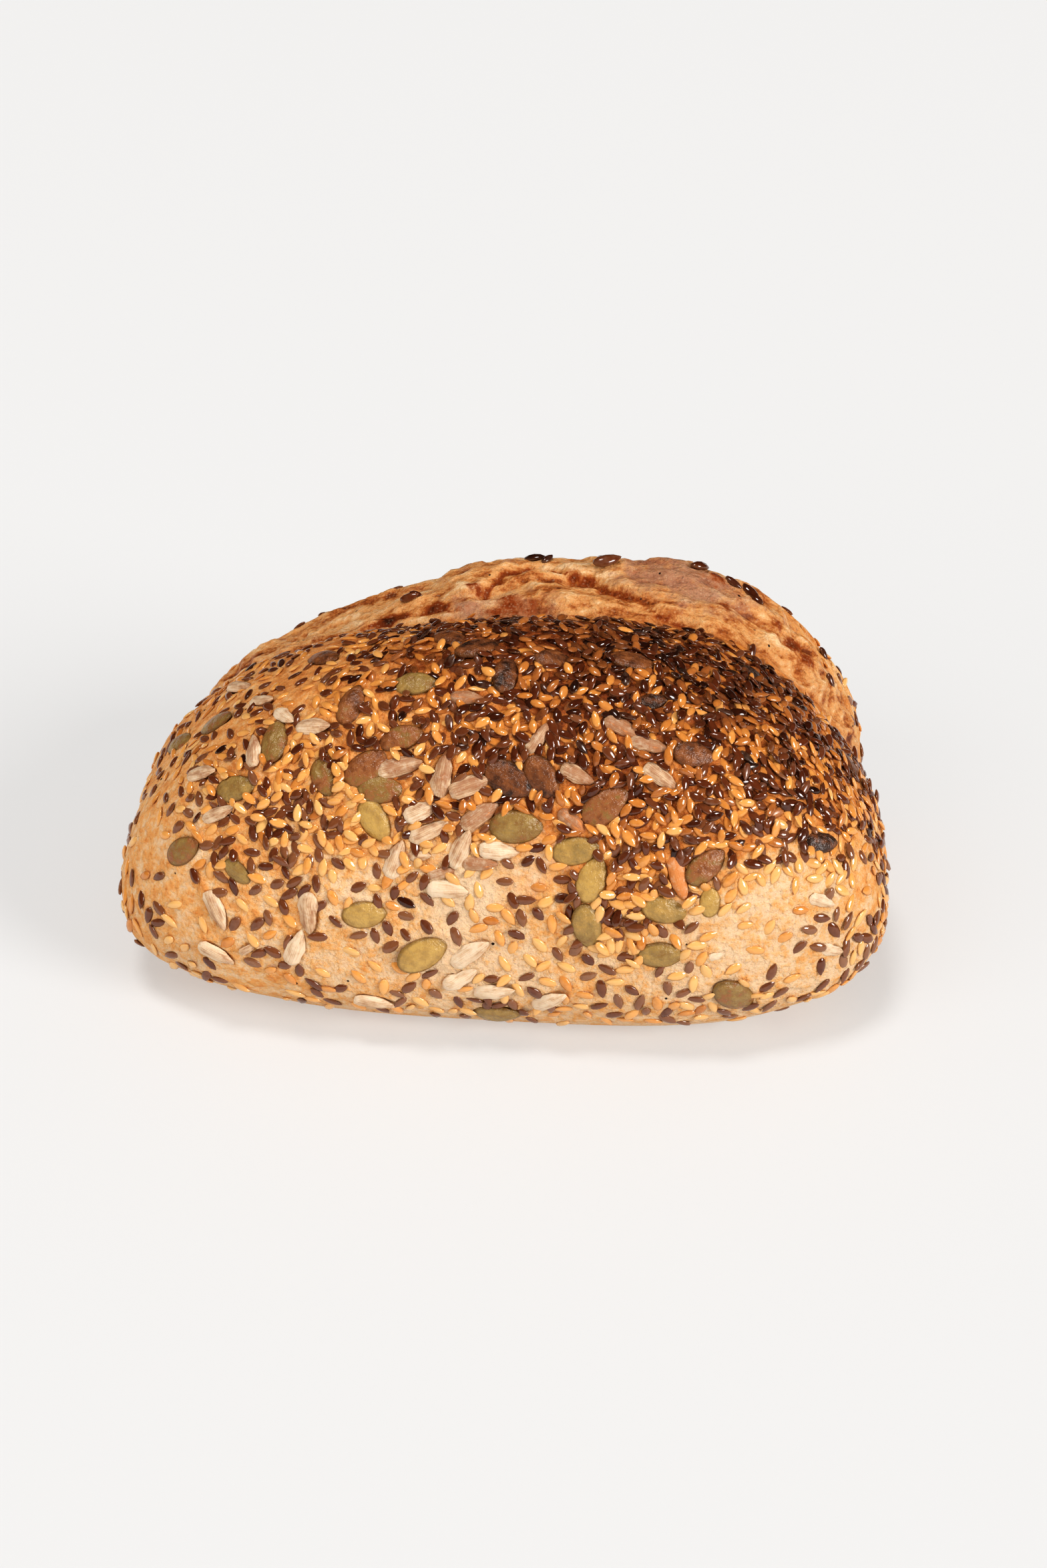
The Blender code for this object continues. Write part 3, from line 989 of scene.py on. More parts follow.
# Sizes of the patterns in the finishes
BROAD_CLOUD = 0.014
FINE_CLOUD = 0.0032
GRAIN = 0.0009
CRACKLE = 0.0050
FLAKE = 0.0045
BURST_CLOUD = 0.0075
SKIN_CLOUD = 0.0050
FLOUR_CELL = 0.0011
PINHOLE_CELL = 0.0075
BLISTER_CELL = 0.0016
LINSEED_MOTTLE = 0.0011
LINSEED_DUST = 0.0016
LINSEED_GRAIN = 0.0008
PUMPKIN_MOTTLE = 0.0034
PUMPKIN_STREAK = 0.10
PUMPKIN_SPECKLE = 0.0008
PUMPKIN_WRINKLE = 0.0019
KERNEL_LINE = 0.16
KERNEL_MOTTLE = 0.0034
KERNEL_FLOUR = 0.0016
KERNEL_GRAIN = 0.0008
FLOOR_CLOUD = 0.9

# How much flour shows on a linseed
BROWN_DUST = 0.12
GOLDEN_DUST = 0.06


def baked_colour(finish, toast, fine, grain):
    """Dough from pale to burnt, with faint cracks and pits darkened as painted shade, pale flakes and raw
    patches.
    """
    colour = finish.ramp(toast, CRUST_COLOURS)
    # Painted shade along thin crack lines of the crust
    crackle = finish.noise(CRACKLE, detail=7.0, roughness=0.7)
    off_middle = finish.math("ABSOLUTE", finish.math("SUBTRACT", crackle, 0.5))
    colour = finish.mix(finish.fit(off_middle, 0.0, 0.03, 0.10, 0.0), colour, CRACK_SHADE_COLOUR, blend="MULTIPLY")
    # Painted warm shade in the crust's fine pits, where the grain noise is low
    colour = finish.mix(finish.fit(grain, 0.30, 0.48, 0.32, 0.0), colour, CREVICE_SHADE_COLOUR, blend="MULTIPLY")
    flaky = finish.fit(finish.noise(FLAKE, detail=6.0, roughness=0.70), 0.50, 0.60)
    flaky = finish.math("MULTIPLY", flaky, finish.fit(toast, 0.05, 0.35, 0.58, 0.0))
    colour = finish.mix(flaky, colour, FLAKY_COLOUR)
    raw = finish.math("ADD", finish.kept("raw"), finish.fit(fine, 0.3, 0.7, -0.3, 0.3))
    return finish.mix(finish.fit(raw, 0.35, 0.75), colour, RAW_COLOUR)


def burst_colour(finish, fine, grain):
    """The bare band: mottled along the loaf, with painted shade in its recesses and painted light on its
    ridges, dull skin, and stains joined by the painted shade under its torn edges.
    """
    along = finish.stretched(finish.place, (0.45, 1.0, 1.0))
    burst = finish.fit(finish.noise(BURST_CLOUD, detail=8.0, vector=along, roughness=0.72), 0.34, 0.64)
    # Painted shade in the recesses of the relief, painted light on its ridges
    burst = finish.math("ADD", burst, finish.fit(finish.kept("hollow"), 0.0, 1.0, -0.26, 0.22))
    burst = finish.wobble(burst, fine, 0.16)
    burst = finish.wobble(burst, grain, 0.10)
    bare = finish.ramp(burst, BURST_COLOURS)
    cloudy = finish.noise(SKIN_CLOUD, detail=6.0, roughness=0.7)
    skin_cover = finish.wobble(finish.kept("skin"), cloudy, 0.45)
    bare = finish.mix(finish.fit(skin_cover, 0.25, 0.75, 0.0, 0.85), bare, SKIN_COLOUR)
    # Real stains joined by the painted shade under the torn edges
    stain = finish.wobble(finish.kept("stain"), cloudy, 0.30)
    return finish.mix(finish.fit(stain, 0.22, 0.45), bare, finish.ramp(stain, STAIN_AND_SHADE_COLOURS))


def crust_finish():
    """Baked dough: pale to burnt, granular and blistered, with a glossy mottled band where it burst."""
    finish = Finish("baked_crust_finish")
    broad = finish.noise(BROAD_CLOUD)
    fine = finish.noise(FINE_CLOUD, detail=5.0, roughness=0.65)
    grain = finish.noise(GRAIN, detail=3.0)
    toast = finish.wobble(finish.kept("toast"), broad, 0.12)
    toast = finish.wobble(toast, fine, 0.25)
    toast = finish.wobble(toast, grain, 0.10)
    colour = baked_colour(finish, toast, fine, grain)
    colour = finish.mix(finish.kept("bare"), colour, burst_colour(finish, fine, grain))
    flour = finish.fit(finish.cells(FLOUR_CELL), 0.0, 0.36, 0.34, 0.0)
    flour = finish.math("MULTIPLY", flour, finish.fit(toast, 0.2, 0.8, 1.0, 0.35))
    colour = finish.mix(flour, colour, FLOUR_COLOUR)
    # Painted shade of tiny pin-holes: near-black specks in a few cells
    pinhole_shade = finish.fit(finish.cells(PINHOLE_CELL), 0.05, 0.07, 1.0, 0.0)
    colour = finish.mix(pinhole_shade, colour, PINHOLE_SHADE_COLOUR)
    normal = finish.bump(finish.cells(BLISTER_CELL), 0.00045, 0.8)
    normal = finish.bump(grain, 0.00045, 0.8, normal)
    normal = finish.bump(fine, 0.0016, 0.9, normal)
    wet = finish.math("MAXIMUM", finish.fit(finish.kept("toast"), 0.45, 0.85), finish.kept("bare"))
    wet = finish.math("ADD", wet, finish.fit(fine, 0.3, 0.7, -0.35, 0.35))
    return finish.surface(
        Base_Color=colour,
        Roughness=finish.fit(wet, 0.2, 1.1, 0.70, 0.30),
        Normal=normal,
        Specular_IOR_Level=0.18,
        Subsurface_Weight=0.10,
        Subsurface_Radius=(0.004, 0.0018, 0.0008),
        Subsurface_Scale=0.5,
    )


def linseed_finish(name, colours, dusty):
    """The thin polished skin of a linseed, paler at its edge and duller where flour lies on it."""
    finish = Finish(name)
    tone = finish.wobble(finish.kept("toast"), finish.noise(LINSEED_MOTTLE, detail=2.0), 0.07)
    colour = finish.ramp(tone, colours)
    rim = finish.fit(finish.flat_reach(finish.lay()), 0.80, 0.98, 0.0, 0.18)
    colour = finish.mix(rim, colour, RIM_COLOUR)
    dust = finish.math("MULTIPLY", finish.kept("dust"), finish.fit(finish.noise(LINSEED_DUST), 0.40, 0.62))
    colour = finish.mix(finish.math("MULTIPLY", dust, dusty), colour, DUST_COLOUR)
    return finish.surface(
        Base_Color=colour,
        Roughness=finish.fit(dust, 0.0, 1.0, 0.11, 0.32),
        Normal=finish.bump(finish.noise(LINSEED_GRAIN, detail=1.0), 0.00006, 0.5),
        Specular_IOR_Level=0.85,
    )


def pumpkin_finish():
    """A pumpkin seed's leathery green skin, darker at its rim, partly in its own colour and partly as painted
    shade along its outline, browned where it baked hardest.
    """
    finish = Finish("pumpkin_seed_finish")
    lay = finish.lay()
    mottle = finish.noise(PUMPKIN_MOTTLE, detail=5.0, roughness=0.65)
    drawn_out = finish.stretched(lay, (0.04, 0.35, 0.05))
    streak = finish.noise(PUMPKIN_STREAK, detail=3.0, vector=drawn_out)
    tone = finish.wobble(finish.kept("toast"), mottle, 0.26)
    colour = finish.ramp(finish.wobble(tone, streak, 0.06), PUMPKIN_COLOURS)
    # The dark rim: partly the seed's own darker edge, partly painted shade along its outline
    rim = finish.fit(finish.flat_reach(lay), 0.86, 0.95, 0.0, 0.45)
    colour = finish.mix(rim, colour, PUMPKIN_RIM_AND_SHADE_COLOUR)
    speckle = finish.fit(finish.cells(PUMPKIN_SPECKLE), 0.0, 0.22, 0.50, 0.0)
    speckle = finish.math("MULTIPLY", speckle, finish.kept("dust"))
    colour = finish.mix(speckle, colour, PUMPKIN_SPECKLE_COLOUR)
    normal = finish.bump(finish.noise(PUMPKIN_WRINKLE, detail=4.0), 0.0010, 0.8)
    normal = finish.bump(streak, 0.0003, 0.3, normal)
    return finish.surface(Base_Color=colour, Roughness=0.26, Normal=normal, Specular_IOR_Level=0.60)


def sunflower_finish():
    """A hulled sunflower kernel: cream and matte, with fine lines along it and a browned tip."""
    finish = Finish("sunflower_kernel_finish")
    lay = finish.lay()
    lines = finish.noise(KERNEL_LINE, detail=3.0, vector=finish.stretched(lay, (0.10, 1.0, 0.4)))
    tone = finish.wobble(finish.kept("toast"), finish.noise(KERNEL_MOTTLE, detail=3.0), 0.24)
    tone = finish.wobble(tone, lines, 0.30)
    tip = finish.node("ShaderNodeSeparateXYZ", {"Vector": lay}).outputs["X"]
    tone = finish.math("ADD", tone, finish.fit(tip, 0.2, 1.0, 0.0, 0.20))
    tone = finish.math("SUBTRACT", tone, finish.fit(finish.flat_reach(lay), 0.55, 0.95, 0.0, 0.18))
    colour = finish.ramp(tone, SUNFLOWER_COLOURS)
    floury = finish.fit(finish.noise(KERNEL_FLOUR, detail=4.0, roughness=0.7), 0.50, 0.66, 0.0, 0.35)
    colour = finish.mix(floury, colour, KERNEL_FLOUR_COLOUR)
    normal = finish.bump(lines, 0.00025, 0.7)
    normal = finish.bump(finish.noise(KERNEL_GRAIN), 0.00025, 0.6, normal)
    return finish.surface(
        Base_Color=colour,
        Roughness=0.55,
        Normal=normal,
        Subsurface_Weight=0.10,
        Subsurface_Radius=(0.003, 0.0015, 0.0008),
        Subsurface_Scale=0.4,
    )


# Seeds, modelled once for each kind and variant

def ring_shape(sides, rings):
    """A sphere whose rings, from its lowest, each get a radius and a height, as (vertices, faces)."""
    bpy.ops.object.select_all(action="DESELECT")
    bpy.ops.mesh.primitive_uv_sphere_add(segments=sides, ring_count=len(rings) - 1, radius=1.0)
    ball = bpy.context.object
    levels = sorted({round(v.co.z, 4) for v in ball.data.vertices})
    points = positions(ball.data)
    for level, (radius, height) in zip(levels, rings):
        ring = np.abs(points[:, 2] - level) < LEVEL_MATCH
        wide = max(math.sqrt(max(0.0, 1 - level * level)), TINY)
        points[ring, 0] *= radius / wide
        points[ring, 1] *= radius / wide
        points[ring, 2] = height
    faces = [tuple(p.vertices) for p in ball.data.polygons]
    mesh = ball.data
    bpy.data.objects.remove(ball)
    bpy.data.meshes.remove(mesh)
    return points, faces


def drop_shape(sides, profile, bend, draw):
    """A flat drop lying along X, one unit long each way, from its radius at stations along it."""
    stations = np.sin(np.linspace(-1, 1, len(profile)) * math.pi / 2)
    points, faces = ring_shape(sides, list(zip(profile, stations)))
    points = points[:, [2, 0, 1]]
    reach = np.maximum(np.linalg.norm(points[:, 1:], axis=1), TINY)
    points[:, 2] *= 1 - EDGE_THINNING * (points[:, 1] / reach) ** 2
    points[:, 2] += bend * (points[:, 0] ** 2 - BEND_CENTRE)
    jitter = [[draw.uniform(-SHAPE_JITTER, SHAPE_JITTER) for _ in range(3)] for _ in points]
    return points * (1 + np.array(jitter)), faces


@functools.lru_cache(maxsize=None)
def linseed_variants():
    """A few linseeds, each a little different: (vertices, in half sizes of the seed, and faces)."""
    draw = random.Random(DRAW_NUMBER + 1)
    return [
        drop_shape(LINSEED_SIDES, LINSEED_PROFILE, draw.uniform(*LINSEED_BENDS), draw)
        for _ in range(LINSEED_VARIANTS)
    ]


@functools.lru_cache(maxsize=None)
def sunflower_variants():
    """A few kernels with a blunt end, a pointed tip and shallow ridges along them."""
    draw = random.Random(DRAW_NUMBER + 2)
    made = []
    for _ in range(SUNFLOWER_VARIANTS):
        profile = [radius * draw.uniform(*KERNEL_SWELLS) for radius in SUNFLOWER_PROFILE]
        points, faces = drop_shape(SUNFLOWER_SIDES, profile, draw.uniform(*KERNEL_BENDS), draw)
        turn = np.arctan2(points[:, 2], points[:, 1])
        ridge = 1 + KERNEL_RIDGE * np.cos(KERNEL_RIDGES * turn + draw.uniform(*ANY_PHASE))
        wave = draw.uniform(*KERNEL_WAVES) * points[:, 0] + draw.uniform(*ANY_PHASE)
        points[:, 1] += KERNEL_WAVE * np.sin(wave)
        points[:, 1] *= ridge
        points[:, 2] *= ridge
        made.append((points, faces))
    return made


@functools.lru_cache(maxsize=None)
def pumpkin_variants():
    """A few flat oval seeds with a raised rim and one pointed end."""
    draw = random.Random(DRAW_NUMBER + 3)
    made = []
    for _ in range(PUMPKIN_VARIANTS):
        points, faces = ring_shape(PUMPKIN_SIDES, PUMPKIN_RINGS)
        along = points[:, 0].copy()
        tip = np.clip((along - PUMPKIN_TIP_FROM) / (1 - PUMPKIN_TIP_FROM), 0, 1)
        points[:, 1] *= 1 - PUMPKIN_TIP_NARROWING * tip**2
        points[:, 0] += PUMPKIN_TIP_POINT * tip**3
        points[:, 1] *= 1 - PUMPKIN_NARROWING * along
        points[:, 2] *= 1 - PUMPKIN_TIP_THINNING * np.clip(along, 0, 1)
        bow = draw.uniform(*PUMPKIN_BOWS) * along**2
        points[:, 2] += bow + draw.uniform(*PUMPKIN_TWISTS) * points[:, 1] * along
        made.append((points, faces))
    return made


class Seed:
    """One seed on the crust: where it lies, how it is turned, its half sizes and its colouring."""

    def __init__(self, point, normal, along, half, toast, dust):
        self.point = point
        self.normal = normal
        self.along = along
        self.half = half
        self.toast = toast
        self.dust = dust

    def matrix(self):
        """The three half axes as columns."""
        side = self.normal.cross(self.along).normalized()
        axes = (self.along, side, self.normal)
        return Matrix([axis * half for axis, half in zip(axes, self.half)]).transposed()


def build_seeds(name, seeds, variants, material):
    """One piece with a copy of a variant for every seed."""
    points, faces, lays, toasts, dusts = [], [], [], [], []
    count = 0
    for index, seed in enumerate(seeds):
        shape, shape_faces = variants[index % len(variants)]
        points.append(shape @ np.array(seed.matrix()).T + np.array(seed.point))
        lays.append(shape)
        faces.extend(tuple(count + i for i in face) for face in shape_faces)
        toasts.append(np.full(len(shape), seed.toast))
        dusts.append(np.full(len(shape), seed.dust))
        count += len(shape)
    mesh = bpy.data.meshes.new(name)
    mesh.from_pydata(np.concatenate(points).tolist(), [], faces)
    store(mesh, "toast", np.concatenate(toasts))
    store(mesh, "dust", np.concatenate(dusts))
    lay = mesh.attributes.new("lay", "FLOAT_VECTOR", "POINT")
    lay.data.foreach_set("vector", np.concatenate(lays).astype(np.float32).ravel())
    mesh.shade_smooth()
    piece = bpy.data.objects.new(name, mesh)
    bpy.context.scene.collection.objects.link(piece)
    add_to_loaf(piece, material, name)


# Where the seeds lie

def along_crust(normal, ray, turn):
    """The direction along the crust that looks, in the picture, turned by an angle from level."""
    right, up, _ = camera_axes()
    drawn = right * math.cos(turn) + up * math.sin(turn)
    along = normal.cross(ray.cross(drawn)).normalized()
    return along if along.dot(drawn) > 0 else -along


def tilted(normal, along, most, draw):
    """A normal and a long axis leaning by up to an angle, each way."""
    lean = Matrix.Rotation(draw.uniform(-most, most), 3, normal.cross(along))
    roll = Matrix.Rotation(draw.uniform(-most, most), 3, along)
    turn = lean @ roll
    return turn @ normal, turn @ along


def any_along(normal, draw):
    """A random direction along the crust."""
    anywhere = Vector((draw.gauss(0, 1), draw.gauss(0, 1), draw.gauss(0, 1)))
    return normal.cross(anywhere).normalized()


def seen_seed(entry, size, sunk, lean, draw):
    """A large seed at a pixel of the photograph, lying in the crust."""
    x, y, turn, tone, scale = entry
    point, normal = seen_on_crust((x, y))
    around = crust_tree().find_nearest_range(point, size[0] * LEVELLED_REACH)
    if around:
        normal = sum((near[1] for near in around), Vector()).normalized()
    along = along_crust(normal, pixel_ray((x, y)), math.radians(turn))
    normal, along = tilted(normal, along, lean, draw)
    half = [part * scale * draw.uniform(*SEEN_SIZES) / 2 for part in size]
    place = point + normal * half[2] * (1 - 2 * sunk)
    return Seed(place, normal, along, half, tone, draw.uniform(0, 1))


@functools.lru_cache(maxsize=None)
def crust_samples(count, number):
    """Random places spread evenly over the crust: (points, normals)."""
    mesh = bpy.data.objects["crust"].data
    areas = np.empty(len(mesh.polygons))
    mesh.polygons.foreach_get("area", areas)
    centres = np.empty(len(mesh.polygons) * 3)
    mesh.polygons.foreach_get("center", centres)
    normals = np.empty(len(mesh.polygons) * 3)
    mesh.polygons.foreach_get("normal", normals)
    picker = np.random.default_rng(number)
    picked = picker.choice(len(areas), size=count, p=areas / areas.sum())
    return centres.reshape(-1, 3)[picked], normals.reshape(-1, 3)[picked]


def hidden_seeds(count, size, sunk, tones, taken, number):
    """Large seeds over what the photograph doesn't show, clear of the bare band and of each other."""
    draw = random.Random(number)
    points, normals = crust_samples(HIDDEN_TRIES, number)
    share = seed_share(points, normals)
    to_camera = np.array(camera_place()) - points
    to_camera /= np.linalg.norm(to_camera, axis=1, keepdims=True)
    fits = np.einsum("ij,ij->i", normals, to_camera) < UNSEEN
    fits &= (share >= HIDDEN_LEAST_SHARE) & (points[:, 2] >= HIDDEN_LOWEST)
    seeds = []
    for index in np.nonzero(fits)[0]:
        if len(seeds) == count:
            break
        point, normal = Vector(points[index]), Vector(normals[index])
        if any((point - other.point).length < HIDDEN_GAP for other in taken + seeds):
            continue
        half = [part * draw.uniform(*HIDDEN_SIZES) / 2 for part in size]
        normal, along = tilted(normal, any_along(normal, draw), HIDDEN_LEAN, draw)
        place = point + normal * half[2] * (1 - 2 * sunk)
        seeds.append(Seed(place, normal, along, half, draw.uniform(*tones), draw.uniform(0, 1)))
    return seeds


def large_seeds(settings):
    """The pumpkin seeds and the sunflower kernels, seen and hidden."""
    draw = random.Random(DRAW_NUMBER)
    pumpkin_size = (settings.pumpkin_length, settings.pumpkin_width, settings.pumpkin_thickness)
    kernel_size = (settings.kernel_length, settings.kernel_width, settings.kernel_thickness)
    pumpkins = [seen_seed(entry, pumpkin_size, SUNK_PUMPKIN, SEEN_LEAN, draw) for entry in PUMPKIN_SEEN]
    kernels = [seen_seed(entry, kernel_size, SUNK_SUNFLOWER, SEEN_LEAN, draw) for entry in SUNFLOWER_SEEN]
    pumpkins += hidden_seeds(
        PUMPKIN_HIDDEN, pumpkin_size, SUNK_PUMPKIN, PUMPKIN_HIDDEN_TONES,
        pumpkins + kernels, DRAW_NUMBER + 4,
    )
    kernels += hidden_seeds(
        SUNFLOWER_HIDDEN, kernel_size, SUNK_SUNFLOWER, SUNFLOWER_HIDDEN_TONES,
        pumpkins + kernels, DRAW_NUMBER + 5,
    )
    return pumpkins, kernels


def under_large_seed(point, large, centres, reach):
    """True where a large seed already covers the crust."""
    for index in np.nonzero(np.linalg.norm(centres - point, axis=1) < reach)[0]:
        seed = large[index]
        offset = Vector(point) - seed.point
        side = seed.normal.cross(seed.along)
        across = (offset.dot(seed.along) / seed.half[0]) ** 2 + (offset.dot(side) / seed.half[1]) ** 2
        if across < COVERED_REACH:
            return True
    return False


def linseed_layer(settings, tries, number, least_gap, share_of, lift, lean, large):
    """One layer of linseeds as (seed, golden) pairs, as close together as the share at each place asks."""
    draw = random.Random(number)
    points, normals = crust_samples(tries, number)
    share = share_of(points, normals)
    toast = toast_share(points)
    golden_clump = lumps(points + 0.5, GOLDEN_CLUMP_SIZE)
    size = (settings.linseed_length, settings.linseed_width, settings.linseed_thickness)
    centres = np.array([seed.point for seed in large])
    reach = max(seed.half[0] for seed in large)
    placed = np.full((tries, 3), FAR_AWAY)
    count = 0
    layer = []
    for index in range(tries):
        if share[index] < LEAST_SHARE or points[index, 2] < LOWEST_SEED:
            continue
        gap = least_gap / math.sqrt(share[index])
        point = points[index]
        if count and np.min(np.sum((placed[:count] - point) ** 2, axis=1)) < gap * gap:
            continue
        if under_large_seed(point, large, centres, reach):
            continue
        placed[count] = point
        count += 1
        normal = Vector(normals[index])
        normal, along = tilted(normal, any_along(normal, draw), lean, draw)
        low = float(1 - smooth_step(*LOW_BAND, points[index, 2]))
        scale = draw.gauss(1, LINSEED_SPREAD) * (1 + LOW_GROWTH * low)
        half = [part * scale * draw.uniform(*LINSEED_SIZES) / 2 for part in size]
        loss = GOLDEN_LOSS * max(0.0, toast[index] - GOLDEN_LOSS_ABOVE)
        golden = draw.random() < GOLDEN_SHARE + GOLDEN_CLUMP * golden_clump[index] - loss
        start, rise, power = GOLDEN_TONE if golden else BROWN_TONE
        tone = start + rise * toast[index] ** power + draw.gauss(0, TONE_SPREAD)
        tone = min(MOST_TOAST, max(0.0, tone))
        place = Vector(point) + normal * (half[2] * LINSEED_RISE + lift * draw.uniform(*LIFT_SIZES))
        layer.append((Seed(place, normal, along, half, tone, draw.random() ** 3), golden))
    return layer


@functools.lru_cache(maxsize=None)
def all_linseeds():
    """Every linseed on the loaf, as (seed, golden) pairs."""
    settings = bpy.context.scene.loaf_seeds
    pumpkins, kernels = all_large_seeds()
    large = list(pumpkins + kernels)

    def bed_share(points, normals):
        clump = np.clip(1 + CLUMP_DEPTH * lumps(points, CLUMP_SIZE), *CLUMP_RANGE)
        share = seed_share(points, normals)
        return np.clip(share * (clump * (1 - share) + share), 0, 1)

    def top_share(points, normals):
        return np.clip((seed_share(points, normals) - TOP_SHARE) / (1 - TOP_SHARE), 0, 1)

    bed = linseed_layer(settings, BED_TRIES, DRAW_NUMBER + 6, BED_GAP, bed_share, 0.0, BED_LEAN, large)
    top = linseed_layer(settings, TOP_TRIES, DRAW_NUMBER + 7, TOP_GAP, top_share, TOP_LIFT, TOP_LEAN, large)
    size = (settings.linseed_length, settings.linseed_width, settings.linseed_thickness * CREST_THICKENING)
    draw = random.Random(DRAW_NUMBER + 8)
    crest = [(seen_seed(entry, size, SUNK_CREST, CREST_LEAN, draw), False) for entry in CREST_LINSEEDS]
    return bed + top + crest


@functools.lru_cache(maxsize=None)
def all_large_seeds():
    """The large seeds of the loaf: (pumpkin seeds, sunflower kernels)."""
    return large_seeds(bpy.context.scene.loaf_seeds)


# Settings

def length_setting(name, description, default):
    """A length that can be set in the panel."""
    return FloatProperty(name=name, description=description, default=default, unit="LENGTH")


def strength_setting(name, description, default):
    """A brightness that can be set in the panel."""
    return FloatProperty(name=name, description=description, default=default)


class LoafSeeds(PropertyGroup):
    """Sizes of the seeds."""

    pumpkin_length: length_setting("Pumpkin length", "Length of a pumpkin seed", 0.0123)
    pumpkin_width: length_setting("Pumpkin width", "Width of a pumpkin seed", 0.0073)
    pumpkin_thickness: length_setting("Pumpkin thickness", "Thickness of a pumpkin seed", 0.0026)
    kernel_length: length_setting("Kernel length", "Length of a sunflower kernel", 0.0106)
    kernel_width: length_setting("Kernel width", "Width of a sunflower kernel", 0.0048)
    kernel_thickness: length_setting("Kernel thickness", "Thickness of a sunflower kernel", 0.0026)
    linseed_length: length_setting("Linseed length", "Length of a linseed", 0.0046)
    linseed_width: length_setting("Linseed width", "Width of a linseed", 0.00232)
    linseed_thickness: length_setting("Linseed thickness", "Thickness of a linseed", 0.0011)


class LoafStage(PropertyGroup):
    """The floor and the lights round the loaf."""

    floor_size: length_setting("Floor size", "Side of the plain floor", 7.0)
    floor_colour: FloatVectorProperty(
        name="Floor colour",
        description="Colour of the plain floor",
        default=(0.375, 0.373, 0.37),
        size=3,
        subtype="COLOR",
    )
    overhead_power: strength_setting("Overhead light", "Strength of the softbox above", 0.84)
    right_power: strength_setting("Right light", "Strength of the low light on the right", 1.74)
    left_power: strength_setting("Left light", "Strength of the low light on the left", 0.94)
    sky: strength_setting("Surroundings", "Brightness of the pale room", 0.31)


# Operators, one for each piece

class LOAF_OT_crust(Operator):
    """Model the loaf's crust: a block pushed out to two lobes, with its crease, lip, burst band and relief"""

    bl_idname = "loaf.crust"
    bl_label = "Crust"

    def execute(self, context):
        bpy.ops.object.select_all(action="DESELECT")
        bpy.ops.mesh.primitive_cube_add(size=CUBE_SIDE)
        crust = context.object
        context.tool_settings.mesh_select_mode = (False, True, False)
        for axis, rounds in enumerate(CUT_ROUNDS):
            for cuts in rounds:
                select_edges_along(crust.data, axis)
                in_edit_mode(bpy.ops.mesh.subdivide, number_cuts=cuts)
        smooth = skin(positions(crust.data) * BLOCK)
        height = relief(smooth) - tear_shade_and_depth(smooth)[1]
        for size, rise in CRAGS:
            height += band_share(smooth) * rise * lumps(smooth, size)
        place_vertices(crust.data, smooth + skin_normals(smooth) * height[:, None])
        self.keep_fields(crust.data, smooth, height)
        bpy.ops.object.shade_smooth()
        add_to_loaf(crust, crust_finish(), "crust")
        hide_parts("loaf")
        self.press_in_seeds(crust.data)
        return {"FINISHED"}

    def press_in_seeds(self, mesh):
        """Lowers the crust under every large seed and raises a low rim of dough round it."""
        points = positions(mesh)
        pumpkins, kernels = all_large_seeds()
        moved = points.copy()
        for seed in pumpkins + kernels:
            away = np.linalg.norm(points - np.array(seed.point), axis=1)
            near = np.nonzero(away < seed.half[0] * SEED_REACH)[0]
            offset = points[near] - np.array(seed.point)
            side = np.array(seed.normal.cross(seed.along))
            ahead = offset @ np.array(seed.along) / seed.half[0]
            aside = offset @ side / seed.half[1]
            reach = np.sqrt(ahead**2 + aside**2)
            rim = SEED_RIM * np.exp(-(((reach - SEED_RIM_AT) / SEED_RIM_WIDTH) ** 2))
            dent = SEED_DENT * (1 - smooth_step(*SEED_DENT_EDGE, reach))
            moved[near] += (rim - dent)[:, None] * np.array(seed.normal)
        moved[:, 2] = np.maximum(moved[:, 2], 0)
        place_vertices(mesh, moved)

    def keep_fields(self, mesh, smooth, height):
        """Keeps how brown the crust is, with painted shade where seeds lie thick, how bare and raw it is, its
        stains with the painted shade under torn edges, and its relief for painted shade and light.
        """
        cover = seed_share(smooth, skin_normals(smooth))
        # Crust under a thick cover of seeds is darkened further as painted shade between the seeds
        store(mesh, "toast", toast_share(smooth) * (CRUST_TOAST + SEED_SHADE_TOAST * cover**3))
        store(mesh, "bare", band_share(smooth))
        store(mesh, "skin", patch_value(smooth, np.zeros(len(smooth)), SKIN_PATCHES))
        store(mesh, "raw", patch_value(smooth, np.zeros(len(smooth)), RAW_PATCHES))
        # Stains and the painted shade under torn edges, kept together
        store(mesh, "stain", stain_and_shade_share(smooth))
        edges = np.empty(len(mesh.edges) * 2, dtype=np.int32)
        mesh.edges.foreach_get("vertices", edges)
        edges = edges.reshape(-1, 2)
        around = height.copy()
        for _ in range(HOLLOW_SHADE_ROUNDS):
            total = around.copy()
            count = np.ones(len(height))
            for one, other in ((0, 1), (1, 0)):
                np.add.at(total, edges[:, one], around[edges[:, other]])
                np.add.at(count, edges[:, one], 1)
            around = total / count
        # How far each vertex stands out of its neighbourhood, kept only for painted shade and light on the
        # bare band
        store(mesh, "hollow", np.clip(0.5 + (height - around) / HOLLOW_SHADE_DEPTH, 0, 1))


class LOAF_OT_pumpkin_seeds(Operator):
    """Lay the pumpkin seeds into the crust"""

    bl_idname = "loaf.pumpkin_seeds"
    bl_label = "Pumpkin Seeds"

    def execute(self, context):
        build_seeds("pumpkin_seeds", all_large_seeds()[0], pumpkin_variants(), pumpkin_finish())
        return {"FINISHED"}


class LOAF_OT_sunflower_kernels(Operator):
    """Lay the sunflower kernels into the crust"""

    bl_idname = "loaf.sunflower_kernels"
    bl_label = "Sunflower Kernels"

    def execute(self, context):
        build_seeds("sunflower_kernels", all_large_seeds()[1], sunflower_variants(), sunflower_finish())
        return {"FINISHED"}


